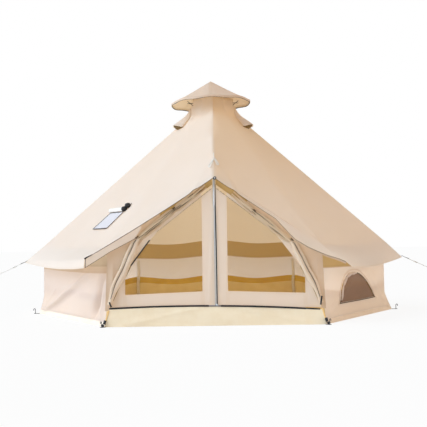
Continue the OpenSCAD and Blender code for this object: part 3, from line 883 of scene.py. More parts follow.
# %% Front plane
LEAN = math.atan((1 - TOP_SHARE) * HALF_DEPTH / WALL_H)
HANDS = {"left": -1, "right": 1}
print("front leans back", round(math.degrees(LEAN), 2), "degrees")


def front_at(x, up, out=0.0):
    x, up, out = np.broadcast_arrays(*[np.asarray(a, float) for a in (x, up, out)])
    y = -HALF_DEPTH + up * math.sin(LEAN) - out * math.cos(LEAN)
    return np.stack([x, y, up * math.cos(LEAN) + out * math.sin(LEAN)], -1)


def along_path(path, n):
    """n points spaced evenly on a line through the given points."""
    path = np.asarray(path, float)
    length = run_along(path)
    at = np.linspace(0, length[-1], n)
    return np.stack([np.interp(at, length, line) for line in path.T], -1)


def between(first, second, n):
    """A grid from one path to another with the same number of points."""
    share = np.linspace(0, 1, n)[None, :, None]
    return first[:, None] * (1 - share) + second[:, None] * share


def billow(x, up):
    return 0.006 * np.sin(2.9 * x + 0.7) * np.sin(3.1 * up + 0.3)


def front_grid(flat, out, hand, slot=0):
    """A grid in the front's plane, mirrored for the left hand."""
    x, up = flat[..., 0] * hand, flat[..., 1]
    points = front_at(x, up, out + billow(x, up))
    return grid(points, np.stack([x, up], -1), panel_maps(points)[1], slot)


# %% [markdown]
# Each half of the front is a band of wall along the gable and down the leg,
# then the door's leaf inside it: a canvas border round a screen of netting.
# The door pole shows as a slight ridge in the strip at the middle. One half is
# drawn and mirrored, because both are cut from the same pattern.

# %% Front walls
# Edges of the right half, from the peak down
INNER_EDGE = [(0.02, 1.60), (0.70, 1.10), (0.80, 1.00), (1.05, 0.66)]
INNER_EDGE += [(1.12, 0.50), (1.16, 0.35), (1.20, 0.18)]
OUTER_EDGE = [(0.02, 1.70), (0.75, 1.21), (1.00, 1.04), (1.213, 0.90)]
OUTER_EDGE += [(1.222, 0.70), (1.235, 0.40), (1.245, 0.18)]
# Rows of each front wall's gable band that carry the painted shadow under the roof's lip
GABLE_ROWS = {"left": 30, "right": 18}


def rail(path):
    """A front wall's edge: the gable with its first four points, then the leg."""
    return np.concatenate([along_path(path[:4], 60), along_path(path[3:], 36)[1:]])


def front_wall(name, hand):
    flat = between(rail(INNER_EDGE), rail(OUTER_EDGE), 13)
    x, up = flat[..., 0], flat[..., 1]
    fold = 0.014 * np.exp(-(((x - 1.16) / 0.025) ** 2)) * smooth_step(0.85 - up, 0.0, 0.3)
    # The gable band takes the painted shadow, the leg the darker front canvas of painted shade
    gable, leg = slice(0, GABLE_ROWS[name] + 1), slice(GABLE_ROWS[name], None)
    grids = [front_grid(flat[part], fold[part], hand, kind) for part, kind in ((gable, 1), (leg, 0))]
    piece = cloth_piece(f"front_wall_{name}_cloth", grids, [SHADED_FRONT_CANVAS, GABLE_SHADOW_CANVAS])
    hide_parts(f"front_wall_{name}")


# %% Door leaves
NET_EDGE = [(0.143, 1.464), (0.657, 1.064), (0.732, 0.976)]
NET_EDGE += [(0.967, 0.662), (1.017, 0.553), (1.018, 0.358)]
LEAF_EDGE = [(0.143, 1.535), (0.70, 1.13), (0.80, 1.03), (1.045, 0.68)]
LEAF_EDGE += [(1.10, 0.56), (1.155, 0.36), (1.195, 0.19)]
NET_MIDDLE, NET_FOOT = 0.143, 0.388
NET_OUT, NET_OUT_FOOT = NET_EDGE[-1]
POLE_TOP, POLE_FOOT, POLE_PRESS = (-0.004, 1.36), (-0.070, 0.20), 0.010
LEAF_BACK, NET_BACK = -0.006, -0.008
STRIP_TOP, STRIP_FALL = 1.575, 0.777
SILL_H, SILL_BOW, SILL_TILT, SILL_HALF = 0.190, 0.036, 0.018, 1.2


def sill_top(x):
    """Height of the sill: bowed up in the middle and lower on the right."""
    share = x / SILL_HALF
    return SILL_H + SILL_BOW * (1 - np.clip(np.abs(share), 0, 1) ** 2) - SILL_TILT * share


def upright_grid(x, bottom, top, n):
    """A flat grid of n rows between two heights at each place across."""
    rows = np.linspace(0, 1, n)[:, None]
    return np.stack(np.broadcast_arrays(x[None], bottom + (top - bottom) * rows), -1)


def door_leaf(name, hand):
    middle = np.linspace(0.003, NET_MIDDLE, 9)
    strip = upright_grid(middle, sill_top(middle * hand), STRIP_TOP - STRIP_FALL * middle, 70)
    strip[..., 0] += 0.013 * (1 - middle / NET_MIDDLE) * smooth_step(strip[..., 1], 1.28, 1.42)
    pressed = ridge_line(strip[..., 0] * hand, strip[..., 1], POLE_TOP, POLE_FOOT, 0.011)
    foot_x = np.linspace(NET_MIDDLE, NET_OUT, 46)
    foot_top = np.interp(foot_x, (NET_MIDDLE, NET_OUT), (NET_FOOT, NET_OUT_FOOT))
    foot = upright_grid(foot_x, sill_top(foot_x * hand), foot_top, 10)
    edge = between(along_path(NET_EDGE + [(NET_OUT, 0.20)], 80), along_path(LEAF_EDGE, 80), 6)
    flats = (strip, POLE_PRESS * pressed), (foot, 0), (edge, 0)
    grids = [front_grid(flat, out + LEAF_BACK, hand) for flat, out in flats]
    leaf = cloth_piece(f"door_leaf_{name}_cloth", grids, [CANVAS])
    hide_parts(f"door_leaf_{name}")
    return leaf


# %% Screens, and both halves
def door_screen(name, hand):
    inner = along_path([(NET_MIDDLE, NET_EDGE[0][1]), (NET_MIDDLE, NET_FOOT)], 60)
    net = front_grid(between(inner, along_path(NET_EDGE, 60), 40), NET_BACK, hand)
    screen = cloth_piece(f"door_mesh_{name}_net", [net], [NETTING])
    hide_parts(f"door_mesh_{name}")
    return screen


for name, hand in HANDS.items():
    front_wall(name, hand)
    leaf, screen = door_leaf(name, hand), door_screen(name, hand)

# %% Sill
SILL_NARROWS, SILL_OUT, SILL_FOLDS = 0.043, 0.003, (-0.002, 0.02)
rows = np.linspace(0, 1, 13)[:, None]
x = np.linspace(-HALF_FRONT, HALF_FRONT, 121)[None] * (1 - SILL_NARROWS * rows)
up = sill_top(x) * rows
fold = 0.010 * np.sin(5.2 * x + 6 * up + 0.6) * np.sin(3 * up / 0.2)
fold = fold + 0.013 * ridge_line(x, up, (-1.1, 0.0), (-0.2, 0.2), 0.03)
fold = fold + 0.012 * ridge_line(x, up, (1.1, 0.0), (0.3, 0.2), 0.03)
points = front_at(x, up, SILL_OUT + np.clip(fold, *SILL_FOLDS))


def plain_cloth(name, points, finish, sewn=True):
    """A cloth of one grid. Netting has no sewn edge of its own."""
    cloth, seam = panel_maps(points)
    return cloth_piece(name, [grid(points, cloth, seam if sewn else None)], [finish])


sill = plain_cloth("door_sill_cloth", points, CREAM)
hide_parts("door_sill")

# %% [markdown]
# The roof's front edge carries a valance over its lower half, which closes
# the corner under the eave. The left one hangs straight down. The right one
# is tucked up under the swag and shows only as a hem. Both start from the
# roof's own points, so that no gap opens at the lip.

# %% Valances
# Per hand: hip, how far up the lip, depth from the tip on, finish
VALANCES = {
    "left": (4, 0.43, (0.096, 0.084, 0.106, 0.030), CANVAS),
    # The right valance takes the darker front canvas: painted shade under the swag
    "right": (5, 0.42, (0.022, 0.017, 0.014, 0.012), SHADED_FRONT_CANVAS),
}
for name, (i, end, depths, finish) in VALANCES.items():
    s = np.linspace(0, end, 40)
    top = gable_roof_at(i, s, LIP) + (0, 0.004, -0.002)
    depth = np.interp(s / end, (0, 0.45, 0.88, 1), depths)
    drop = np.stack([0 * s, 0.15 * depth, -depth], -1)
    points = top[None] + drop[None] * np.linspace(0, 1, 7)[:, None, None]
    valance = plain_cloth(f"front_valance_{name}_cloth", points, finish)
    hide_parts(f"front_valance_{name}")
    1.05 * max(depths)
    if name == "left":
        valance_hem = points[-1]

# %% [markdown]
# ## Tubes, straps and rolls
#
# Rolled doors, piping, cords and tapes are all a section carried along a
# path. A curve object with a bevel does that too, but its size can't change
# as freely along the way, and it has no map in metres. `sweep` turns a section
# along the path without twisting it.

# %% Sweeps
FACING = (0.0, -1.0, 0.0)


def frames_along(path, facing=None):
    """Side and out vectors at each point of a path; out starts near facing."""
    tangent = unit(np.gradient(path, axis=0))
    if facing is None:
        facing = FACING if abs(tangent[0][2]) > 0.9 else (0.0, 0.0, 1.0)
    out, sides, outs = np.array(facing, float), [], []
    for t in tangent:
        out = unit(out - t * (out @ t))
        outs.append(out)
        sides.append(np.cross(t, out))
    return np.array(sides), np.array(outs)


def sweep(name, path, section, finish, slot="webbing", facing=None, scale=1.0, smooth=True):
    """Carries a closed section of (side, out) points along a path and caps its ends."""
    path, section = np.asarray(path, float), np.asarray(section, float)
    sides, outs = frames_along(path, facing)
    scale = np.broadcast_to(scale, len(path))[:, None, None]
    n = len(section)
    rings = section[None, :, :1] * sides[:, None] + section[None, :, 1:] * outs[:, None]
    rings = path[:, None] + scale * rings
    at = np.arange(len(path) * n).reshape(len(path), n)
    after = np.roll(at, -1, 1)
    faces = np.stack([at[:-1], after[:-1], after[1:], at[1:]], -1).reshape(-1, 4).tolist()
    faces += [at[0][::-1].tolist(), at[-1].tolist()]
    piece = new_mesh(name, rings.reshape(-1, 3), faces)
    girth, length = run_along(section)[None], run_along(path)[:, None]
    flat = np.stack(np.broadcast_arrays(girth, length), -1).reshape(-1, 2)
    loops = np.empty(len(piece.data.loops), int)
    piece.data.loops.foreach_get("vertex_index", loops)
    piece.data.uv_layers.new(name="cloth").data.foreach_set("uv", flat[loops].reshape(-1))
    piece.data.uv_layers.new(name="seam").data.foreach_set("uv", np.ones(2 * len(loops)))
    return finish_piece(piece, [finish], smooth)


def front_sweep(name, flat, out, section, finish, **more):
    """A sweep along (x, up) points of the front's plane that faces the visitor."""
    x, up = np.asarray(flat, float).T
    return sweep(name, front_at(x, up, out), section, finish, facing=FACING, **more)


def join(piece, *others):
    """Joins meshes that are one real piece, and keeps the first one's name."""
    with bpy.context.temp_override(
        active_object=piece, selected_editable_objects=[piece, *others]
    ):
        bpy.ops.object.join()
    return piece


# %% Sections and curves
def circle(radius, n=6):
    a = np.linspace(0, TAU, n, endpoint=False)
    return np.stack([np.cos(a), np.sin(a)], -1) * radius


def strap(width, thick):
    w, t = width / 2, thick / 2
    return [(-w, -t), (w, -t), (w, t), (-w, t)]


def rounded(path, n):
    """A smooth curve through points, n points long."""
    path = np.asarray(path, float)
    length = run_along(path)
    slope = np.gradient(path, length, axis=0)
    at = np.linspace(0, length[-1], n)
    k = np.clip(np.searchsorted(length, at, side="right") - 1, 0, len(path) - 2)
    h = (length[k + 1] - length[k])[:, None]
    t = ((at - length[k]) / h[:, 0])[:, None]
    return (
        (2 * t**3 - 3 * t**2 + 1) * path[k]
        + (t**3 - 2 * t**2 + t) * h * slope[k]
        + (3 * t**2 - 2 * t**3) * path[k + 1]
        + (t**3 - t**2) * h * slope[k + 1]
    )


# %% [markdown]
# The outer doors are rolled up and tied back along the opening. The roll lies
# in folds under the roof's edge, is pinched at two toggles and runs on down
# each leg. Each fold is a loose roll of its own: lobes with grooves where one
# turn ends on the next. One thick tube would look like a pipe. On each leg one
# dark line between the folds is the door's zip. The brown lines between the
# folds under the gable and the olive lines beside each leg are painted shadow
# of the gaps, and the roll under the gable is darkened with painted shade.

# %% Sizes of the rolled doors
ROLL_PATH = [(0.100, 1.585), (0.220, 1.490), (0.444, 1.318), (0.657, 1.150), (0.790, 1.045)]
ROLL_PATH += [(0.870, 0.985), (0.930, 0.845), (1.034, 0.620), (1.130, 0.420), (1.200, 0.246)]
ROLL_N, SHOULDER, TOGGLES = 150, 0.545, (0.25, 0.545)
ROLL_START = {"left": 0.0, "right": 0.08}
ROLL_DROP = {"left": 0.0, "right": -0.050}
# Width of each leg's roll as a share of the widest, and how far it is pushed outwards
LEG_WIDTH, LEG_SHIFT = {"left": 0.78, "right": 0.64}, {"left": 0.008, "right": 0.012}
# Per fold: place across the roll at the gable and at the leg, stand-off, radius at both
ROLL_FOLDS = (
    (0.024, 0.040, 0.022, 0.019, 0.028),
    (0.000, -0.028, 0.030, 0.019, 0.040),
    (-0.024, 0.008, 0.012, 0.016, 0.018),
)
# Painted shadow between the folds under the gable: place across the roll, stand-off, where they start and
# end
GABLE_SHADOW_LINES = {
    "left": ((0.014, 0.036, 0.10, 0.54), (-0.002, 0.044, 0.20, 0.54), (-0.016, 0.036, 0.04, 0.50)),
    "right": ((-0.014, 0.036, 0.24, 0.54), (0.014, 0.038, 0.20, 0.40)),
}
# The door's zip on each leg, then painted shadow of the gaps on both sides of the leg
LEG_LINES = ((0.013, 0.048, 0.56, 0.965),)
LEG_GAP_SHADOWS = ((0.068, 0.006, 0.60, 0.78), (-0.070, 0.006, 0.72, 0.97))
# Where along the roll, and its width there as a share of its widest
TAPER_AT, TAPER = (0.0, 0.54, 0.56, 0.66, 0.80, 0.93, 1.0), (1.0, 1.0, 0.60, 1.0, 0.97, 0.56, 0.30)
# Grooves of a fold: where round it, and how deep
GROOVES = ((0.35, 0.12), (1.1, 0.16), (2.1, 0.18))

# %% Lines along a rolled door
angle = np.linspace(0, TAU, 28, endpoint=False)
lobes = 1 - sum(depth * np.exp(-(((angle - place) / 0.16) ** 2)) for place, depth in GROOVES)
ROLL_SECTION = np.stack([np.cos(angle), 0.8 * np.sin(angle)], -1) * lobes[:, None]

roll_at = np.linspace(0, 1, ROLL_N)
leg_share = smooth_step(roll_at, SHOULDER - 0.03, SHOULDER + 0.04)
pinch = 1 - sum(0.45 * np.exp(-(((roll_at - place) / 0.02) ** 2)) for place in TOGGLES)
pinch = pinch * np.interp(roll_at, TAPER_AT, TAPER)
print("roll: narrowest", round(pinch.min(), 2), "of its width")


def roll_part(start, end):
    return slice(int(start * (ROLL_N - 1)), int(end * (ROLL_N - 1)) + 1)


def roll_line(name, across, out):
    """A line along a rolled door: across from its middle, and out from the front's plane."""
    flat = rounded(ROLL_PATH, ROLL_N)
    flat[:, 1] += ROLL_DROP[name] * np.interp(roll_at, (0, 0.25, 0.56, 0.75, 1), (0, 0.8, 1, 0.4, 0))
    run = unit(np.gradient(flat, axis=0))
    aside = np.stack([-run[:, 1], run[:, 0]], -1)
    flat = flat + aside * np.broadcast_to(across, ROLL_N)[:, None]
    return front_at(flat[:, 0] * HANDS[name], flat[:, 1], out)


# %% Rolled doors
for name, hand in HANDS.items():
    start = ROLL_START[name]
    wide = pinch * (1 - leg_share * (1 - LEG_WIDTH[name]))
    shift = leg_share * LEG_SHIFT[name] * (1 - smooth_step(roll_at, 0.8, 1.0))
    section = ROLL_SECTION if hand > 0 else (ROLL_SECTION * (-1, 1))[::-1]
    # The part under the gable takes the darker canvas: painted shade under the roof's edge
    parts = (roll_part(start, SHOULDER), SHADE_CANVAS), (roll_part(SHOULDER, 1), ROLL_CANVAS)
    folds = []
    for number, (gable, leg, out, gable_r, leg_r) in enumerate(ROLL_FOLDS):
        across = (gable * (1 - leg_share) + leg * leg_share) * wide + shift
        across = across + 0.005 * np.sin((23 + 4 * number) * roll_at + 2 * number)
        size = (gable_r * (1 - leg_share) + leg_r * leg_share) * (0.35 + 0.65 * wide)
        size = size * (1 + 0.06 * np.sin(38 * roll_at + number))
        size = size * (0.4 + 0.6 * smooth_step(roll_at, start, start + 0.12))
        path = roll_line(name, across, out)
        for part, finish in parts:
            folds.append(sweep("fold", path[part], section, finish, "canvas", FACING, size[part]))
    roll = join(*folds)
    roll.name = f"door_roll_{name}_cloth"
    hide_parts(f"door_roll_{name}")
    lines = []
    for rows, radius, finish in (
        (GABLE_SHADOW_LINES[name], 0.0034, BROWN_THREAD),
        (LEG_LINES, 0.0030, ZIP),
        (LEG_GAP_SHADOWS, 0.0060, GAP_SHADE),
    ):
        for across, out, begin, end in rows:
            path = roll_line(name, across * wide + shift + 0.003 * np.sin(31 * roll_at), out)
            lines.append(sweep("line", path[roll_part(begin, end)], circle(radius), finish))
    join(*lines).name = f"door_roll_{name}_lines"
    bar = roll_line(name, 0.02, 0.048)
    ends = [roll_part(place - 0.01, place + 0.01) for place in TOGGLES]
    toggles = [sweep("toggle", bar[part], circle(0.0075, 10), BROWN_THREAD) for part in ends]
    join(*toggles).name = f"door_roll_{name}_toggles"
print("rolled doors:", len(ROLL_FOLDS), "folds each")

# %% [markdown]
# ## Ground and inner lining
#
# The groundsheet covers the floor and turns up the walls inside as an olive
# band with a bright gold top strip, tied to the wall at its corners and
# middle. The floor is six fans of points, one for each side, and the band uses
# the walls' own points, moved inwards, so that it can't cut through them.

# %% Groundsheet
FLOOR_SHARE, FLOOR_UP, FLOOR_WAVE = 0.9978, 0.004, 0.002
share, rows = np.linspace(0, 1, 31)[:, None], np.linspace(1, 0, 31)[:, None, None]
floor_grids = []
for i in range(6):
    edge = (GROUND[i] * (1 - share) + GROUND[(i + 1) % 6] * share) * FLOOR_SHARE
    points = edge[None] * rows
    x, y = points[..., 0], points[..., 1]
    wave = np.sin(7 * x + 3 * y) * np.sin(5 * y - 4 * x) * (1 - rows[..., 0] ** 4)
    points[..., 2] = FLOOR_UP + FLOOR_WAVE * wave
    floor_grids.append(grid(points, points[..., :2].copy()))
floor_cloth = cloth_piece("groundsheet_cloth", floor_grids, [OLIVE])
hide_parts("groundsheet")

# %% Upstand
GOLD_LOW, GOLD_TOP, GOLD_DIP, UPSTAND_IN = 0.30, 0.39, 0.035, -0.012
s = np.linspace(0, 1, 121)[None]
dip = GOLD_DIP * (1 - np.cos(2 * TAU * s)) / 2
upstand_grids = []
for i in CLOSED_SIDES:
    for low, high, kind in ((0.008, GOLD_LOW, 0), (GOLD_LOW, GOLD_TOP, 1)):
        rows = np.linspace(high, low, 10)[:, None]
        points = wall_at(i, s, (rows - dip * rows / GOLD_TOP) / WALL_H, UPSTAND_IN)
        upstand_grids.append(grid(points, *panel_maps(points), slot=kind))
upstand = cloth_piece("groundsheet_upstand_cloth", upstand_grids, [OLIVE, GOLD])
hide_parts("groundsheet_upstand")

# %% [markdown]
# ## Rain cap
#
# A small cone of canvas covers the roof's crown. It is cut in gores, so it is
# slightly hollow between its seams, and dark piping edges its rim inside. A
# plain cone would look like metal: the hollows and the crooked seat make it
# cloth.

# %% Rain cap
GORES, CAP_HEM, CAP_SLANT, GORE_HOLLOW = 8, 0.026, 0.6, 0.014
cap_low, cap_high = box("rain_cap")
CAP_R, CAP_RIM, CAP_TIP = cap_high[0], cap_low[2] + CAP_HEM, cap_high[2]
# The cap sits askew: pushed to the left, tipped forward and to the side, and raised
CAP_SHIFT, CAP_TILT, CAP_ROLL, CAP_LIFT = -0.028, 0.065, 0.034, 0.022


def cap_at(turn, r):
    """Points on the cap: turn in radians, r from 0 at the tip to 1 at the rim."""
    hollow = np.sin(GORES * turn / 2) ** 2 * np.sin(np.clip(r, 0, 1) * math.pi / 2)
    z = CAP_RIM + (CAP_TIP - CAP_RIM) * (1 - r) ** 1.12 - GORE_HOLLOW * hollow * r
    x, y = CAP_R * r * np.cos(turn), CAP_R * r * np.sin(turn)
    z = z - CAP_TILT * y + CAP_ROLL * x + CAP_LIFT
    return np.stack(np.broadcast_arrays(x + CAP_SHIFT, y, z), -1)


def pairs(first, second):
    return np.stack(np.broadcast_arrays(first, second), -1)


turn, r = np.linspace(0, TAU, 129)[None], np.linspace(0.0, 1, 26)[:, None]
cone = cap_at(turn, r)
cone[0] = cone[0].mean(0)
skirt = cone[-1][None] + np.linspace(0, 1, 4)[:, None, None] * (0, 0, -CAP_HEM)
gore_edge = 0.5 - np.abs((turn * GORES / TAU) % 1 - 0.5)
gore_edge = gore_edge * CAP_R * r * TAU / GORES
cap_seam = pairs(CAP_SLANT * r, np.minimum(gore_edge, (1 - r) * CAP_SLANT))
cone_grid = grid(cone, pairs(turn * CAP_R * r, CAP_SLANT * r), cap_seam)
skirt_grid = grid(skirt, pairs(turn * CAP_R, CAP_SLANT + np.linspace(0, 0.03, 4)[:, None]))
cap = cloth_piece("rain_cap_cloth", [cone_grid, skirt_grid], [CAP_CANVAS])
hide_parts("rain_cap")
rim = cap_at(turn[0], 0.984) - (0, 0, CAP_HEM)
sweep("rain_cap_piping", rim, circle(0.0045, 8), WEBBING)
print("rain cap:", GORES, "gores, radius", round(CAP_R, 3))

# %% [markdown]
# ## Vents
#
# Four hoods stand off the roof under the cap. Each is a flap sewn at its top
# and sides and open at its foot, where brown netting closes the hole. That net
# is drawn dark and without holes, so it also paints the shade inside the
# hood's mouth. They are drawn on the roof's surface and lifted off it, so that
# their edges lie on it.

# %% Vent hoods
SLANT = [np.linalg.norm(OUT[i] * TOP_SHARE * REACH[i] + (0, 0, WALL_H) - APEX) for i in range(6)]
VENT_W, VENT_L, VENT_H, VENT_UP, VENT_CLEAR = 0.24, 0.36, 0.070, 2.21, 0.004
# Rise of a hood's sides at its mouth, how far the mouth droops, how far the net is set back
HOOD_SIDE, HOOD_DROOP, NET_IN = 0.018, 0.035, 0.012
VENT_SHIFT = {0: -0.14, 2: 0.14, 3: -0.15, 5: 0.14}


def on_roof(i, x, up, lift=0.0):
    """A place on roof side i: x along the wall, up the slope from the wall's top."""
    v = 1 - np.asarray(up, float) / SLANT[i]
    low, high = SIDE_X[i] * TOP_SHARE
    return roof_at(i, (np.asarray(x, float) / v - low) / (high - low), v, lift)


def panel_middle(i, up):
    return SIDE_X[i].mean() * TOP_SHARE * (1 - up / SLANT[i])


share, a = np.linspace(0.02, 1, 22)[:, None], np.linspace(-1, 1, 25)[None]
for i, shift in VENT_SHIFT.items():
    arch = (1 - np.abs(a) ** 1.5) * VENT_H * share**0.8 + HOOD_SIDE * share
    middle = panel_middle(i, VENT_UP) + shift
    up = VENT_UP + VENT_L * (1 - share) - HOOD_DROOP * (1 - np.abs(a)) * share**3
    points = on_roof(i, middle + a * share**0.8 * VENT_W / 2, up, arch + VENT_CLEAR)
    hood = plain_cloth(f"vent_{SIDES[i]}_cloth", points, CANVAS)
    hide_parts(f"vent_{SIDES[i]}")
    mouth = np.linspace(0.0, 0.97, 6)[:, None] * arch[-1] + VENT_CLEAR
    points = on_roof(i, middle + a * VENT_W / 2 * 0.98, up[-1] + NET_IN, mouth)
    # The closed, dark net also paints the shade inside the hood's mouth
    plain_cloth(f"vent_{SIDES[i]}_net", points, VENT_NETTING, sewn=False)
print("vents: mouth", VENT_UP, "m up the slope")

# %% [markdown]
# ## Window
#
# The side window is brown netting behind a bound, arched opening. Its flap is
# rolled up and tied along the left edge. A boolean would cut the hole; here
# quads are left out of the wall, and the binding covers their stepped edge.


# %% Window
def on_wall(i, x, z, lift=0.0):
    """A place on wall i: x along it, at height z."""
    low, high = SIDE_X[i]
    return wall_at(i, (np.asarray(x) - low) / (high - low), np.asarray(z) / WALL_H, lift)


edge_x, edge_z = window_outline(64)
heights = WINDOW_LOW + (edge_z - WINDOW_LOW)[None] * np.linspace(1, 0, 20)[:, None]
points = on_wall(WINDOW_SIDE, edge_x[None], heights, -0.002)
window = plain_cloth("window_net", points, WINDOW_NETTING, sewn=False)
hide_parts("window_mesh")


def window_sweep(name, x, z, lift, section, finish, scale=1.0):
    """A sweep along a line on the window's wall."""
    path = on_wall(WINDOW_SIDE, x, z, lift)
    return sweep(name, path, section, finish, "canvas", OUT[WINDOW_SIDE], scale)


# The binding is dark brown, which also paints the shadow along the window's edge
BINDING, ROLL_BIT = strap(0.011, 0.004), slice(2, 64)
window_sweep("window_binding", *window_outline(90, 0.004), 0.004, BINDING, BROWN_THREAD)
foot_x = np.linspace(edge_x[0] - 0.02, edge_x[-1] + 0.02, 40)
window_sweep("window_foot_binding", foot_x, WINDOW_LOW - 0.004, 0.004, BINDING, BROWN_THREAD)
roll_x, roll_z = [line[ROLL_BIT] for line in window_outline(120)]
along = np.linspace(0, 1, len(roll_x))
wobble = 1 + 0.24 * np.sin(24 * along) + 0.12 * np.sin(51 * along)
size = np.interp(along, (0, 0.1, 0.8, 1), (0.008, 0.016, 0.018, 0.010)) * wobble
window_sweep("window_flap_roll", roll_x, roll_z, 0.012, ROLL_SECTION, DIMMED_WALL, size)
window_sweep("window_flap_seam", *window_outline(90, 0.065), 0.003, circle(0.004, 8), DIMMED_WALL)

# %% [markdown]
# ## Stove jack
#
# A grey heat-proof patch lets a stove pipe through the roof. Its canvas cover
# is rolled up above it and held by two black straps. It is drawn in lengths
# along the wall and up the slope, as a sewer would mark it, and laid on the
# roof's surface.

# %% Stove patch
JACK_W, JACK_H, JACK_UP = 0.43, 0.28, 0.327
JACK_X = panel_middle(STOVE_SIDE, JACK_UP + JACK_H / 2) + 0.35
# Left and right end of the patch's foot and of its top, skewed as it is sewn on
JACK_FOOT = JACK_X - JACK_W / 2 - 0.075, JACK_X + JACK_W / 2 - 0.02
JACK_TOP = JACK_X - JACK_W / 2 + 0.02, JACK_X + JACK_W / 2 + 0.04
rise, share = np.linspace(1, 0, 10)[:, None], np.linspace(0, 1, 14)[None]
x = np.interp(share, (0, 1), JACK_FOOT) * (1 - rise) + np.interp(share, (0, 1), JACK_TOP) * rise
points = on_roof(STOVE_SIDE, x, JACK_UP + JACK_H * rise, 0.006)
jack = plain_cloth("stove_jack_cloth", points, HEATPROOF)
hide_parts("stove_jack")


def jack_sweep(name, flat, n, lift, section, finish=WEBBING, slot="webbing", scale=1.0):
    """A sweep along (x, up) points on the stove panel's side of the roof."""
    path = on_roof(STOVE_SIDE, *along_path(flat, n).T, lift)
    return sweep(name, path, section, finish, slot, ROOF_OUT[STOVE_SIDE], scale)


# %% Binding, cover and straps
foot = [(end, JACK_UP) for end in JACK_FOOT]
top = [(end, JACK_UP + JACK_H) for end in JACK_TOP]
bands = []
for line, width in ((foot, 0.014), ((foot[1], top[1]), 0.008), (top, 0.008), ((top[0], foot[0]), 0.008)):
    bands.append(jack_sweep("stove_jack_binding", line, 12, 0.009, strap(width, 0.003)))
join(*bands)

left, right_edge = JACK_TOP
COVER_UP, COVER_R = JACK_UP + JACK_H + 0.026, 0.028
line = [(left - 0.02, COVER_UP), (right_edge + 0.01, COVER_UP)]
wobble = 1 + 0.06 * np.sin(np.linspace(0, 17, 40))
section = ROLL_SECTION * COVER_R
cover = jack_sweep("stove_jack_cover_roll", line, 40, COVER_R, section, WHITE_TAPE, "canvas", wobble)
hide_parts("stove_jack_roll")
straps = []
for place, up in ((right_edge + 0.01, COVER_UP), (right_edge + 0.03, COVER_UP + 0.055)):
    line = [(place - 0.022, up), (place + 0.022, up)]
    straps.append(jack_sweep("stove_jack_straps", line, 2, COVER_R, circle(COVER_R + 0.003, 14)))
line = [(right_edge, COVER_UP + 0.02), (right_edge + 0.03, COVER_UP + 0.11)]
straps.append(jack_sweep("tail", line, 8, 0.010, strap(0.022, 0.003)))
join(*straps)
print("stove cover:", len(straps), "straps and tails")

# %% [markdown]
# ## Zips
#
# The screens close with black zips: one up the middle, one along the sill and
# one along the left outer edge. Single teeth are too small to see from where
# a tent is looked at, so a tape carries one raised row.

# %% Zips
TEETH = [(-0.007, 0), (0.007, 0), (0.007, 0.003), (0.002, 0.005), (-0.002, 0.005), (-0.007, 0.003)]
TAPE_T, TEETH_UP = 0.002, 0.001
SILL_ENDS, SILL_GAP, SILL_ZIP_DOWN = (-1.196, 1.178), (-0.075, 0.062), 0.003
MIDDLE_LINE = [(0.012, 1.36), (0.017, 0.9), (0.020, 0.222)]
TOP_LINE = [(0.017, 1.60), (0.016, 1.36)]
EDGE_LINE = [(-0.735, 0.975), (-0.967, 0.665), (-0.990, 0.61)]


def zip_along(name, flat, out, tape_w, tape_finish=ZIP):
    """A zip on the front's plane: a flat tape with a raised row of teeth."""
    lift = out + billow(*np.asarray(flat).T)
    band = front_sweep("band", flat, lift, strap(tape_w, TAPE_T), tape_finish, smooth=False)
    join(front_sweep(name, flat, lift + TEETH_UP, TEETH, ZIP, smooth=False), band)


def sill_line(low, high, n):
    x = np.linspace(low, high, n)
    return np.stack([x, sill_top(x) - SILL_ZIP_DOWN], -1)


zip_along("door_zip_middle", along_path(MIDDLE_LINE, 80), 0.004, 0.022, WHITE_TAPE)
line, narrow = along_path(TOP_LINE, 12), np.linspace(0.4, 1, 12)
front_sweep("door_zip_top", line, 0.016, strap(0.010, 0.004), ZIP, scale=narrow)
zip_along("door_zip_sill_left", sill_line(SILL_ENDS[0], SILL_GAP[0], 60), 0.008, 0.020)
zip_along("door_zip_sill_right", sill_line(SILL_GAP[1], SILL_ENDS[1], 60), 0.008, 0.020)
front_sweep("door_zip_sill_tape", sill_line(*SILL_GAP, 12), 0.007, strap(0.016, TAPE_T), GREY_TAPE)
line = [(x, sill_top(0.02) + 0.008) for x in (0.006, 0.034)]
front_sweep("door_zip_slider", line, 0.012, strap(0.022, 0.008), STEEL, slot="steel")
zip_along("door_zip_edge_left", along_path(EDGE_LINE, 30), 0.006, 0.010)
ZIP_ENDS = {"left": [(-1.190, 0.278), (-1.166, 0.222)], "right": [(1.195, 0.319), (1.180, 0.222)]}
for name, ends in ZIP_ENDS.items():
    front_sweep(f"door_zip_end_{name}", along_path(ends, 6), 0.062, strap(0.018, 0.006), WEBBING)
print("zips: gap in the sill", SILL_GAP)

# %% [markdown]
# ## Small fittings
#
# Stitches along the top of each screen, a dark line along the roof's front hem
# that paints the shadow of the gap under it, the eyelet that the door pole's
# pin goes through, tapes that gather the ridge, ties under the cap, tapes in
# the inner corners, the straps that hold the front corners down, and tabs where
# the ropes leave the eave. All are sweeps, and what is one piece in the hand is
# joined into one mesh.

# %% Stitches and hems
THREAD_DASH, THREAD_GAP, THREAD_N = 0.034, 0.006, 19
# Radius of the dark line along the roof's front hem, painted shadow of the gap under it, per hand
HEM_SHADOW_R = {"left": 0.0038, "right": 0.0026}


def dashed(name, line, radius, material):
    """A row of visible stitches along a line of points."""
    count = int(run_along(line)[-1] / (THREAD_DASH + THREAD_GAP))
    points = along_path(line, THREAD_N * count).reshape(count, THREAD_N, 3)
    share = int(THREAD_N * THREAD_DASH / (THREAD_DASH + THREAD_GAP))
    join(*[sweep(name, part[:share:5], circle(radius), material) for part in points])
    print(f"{name}: {count} stitches")


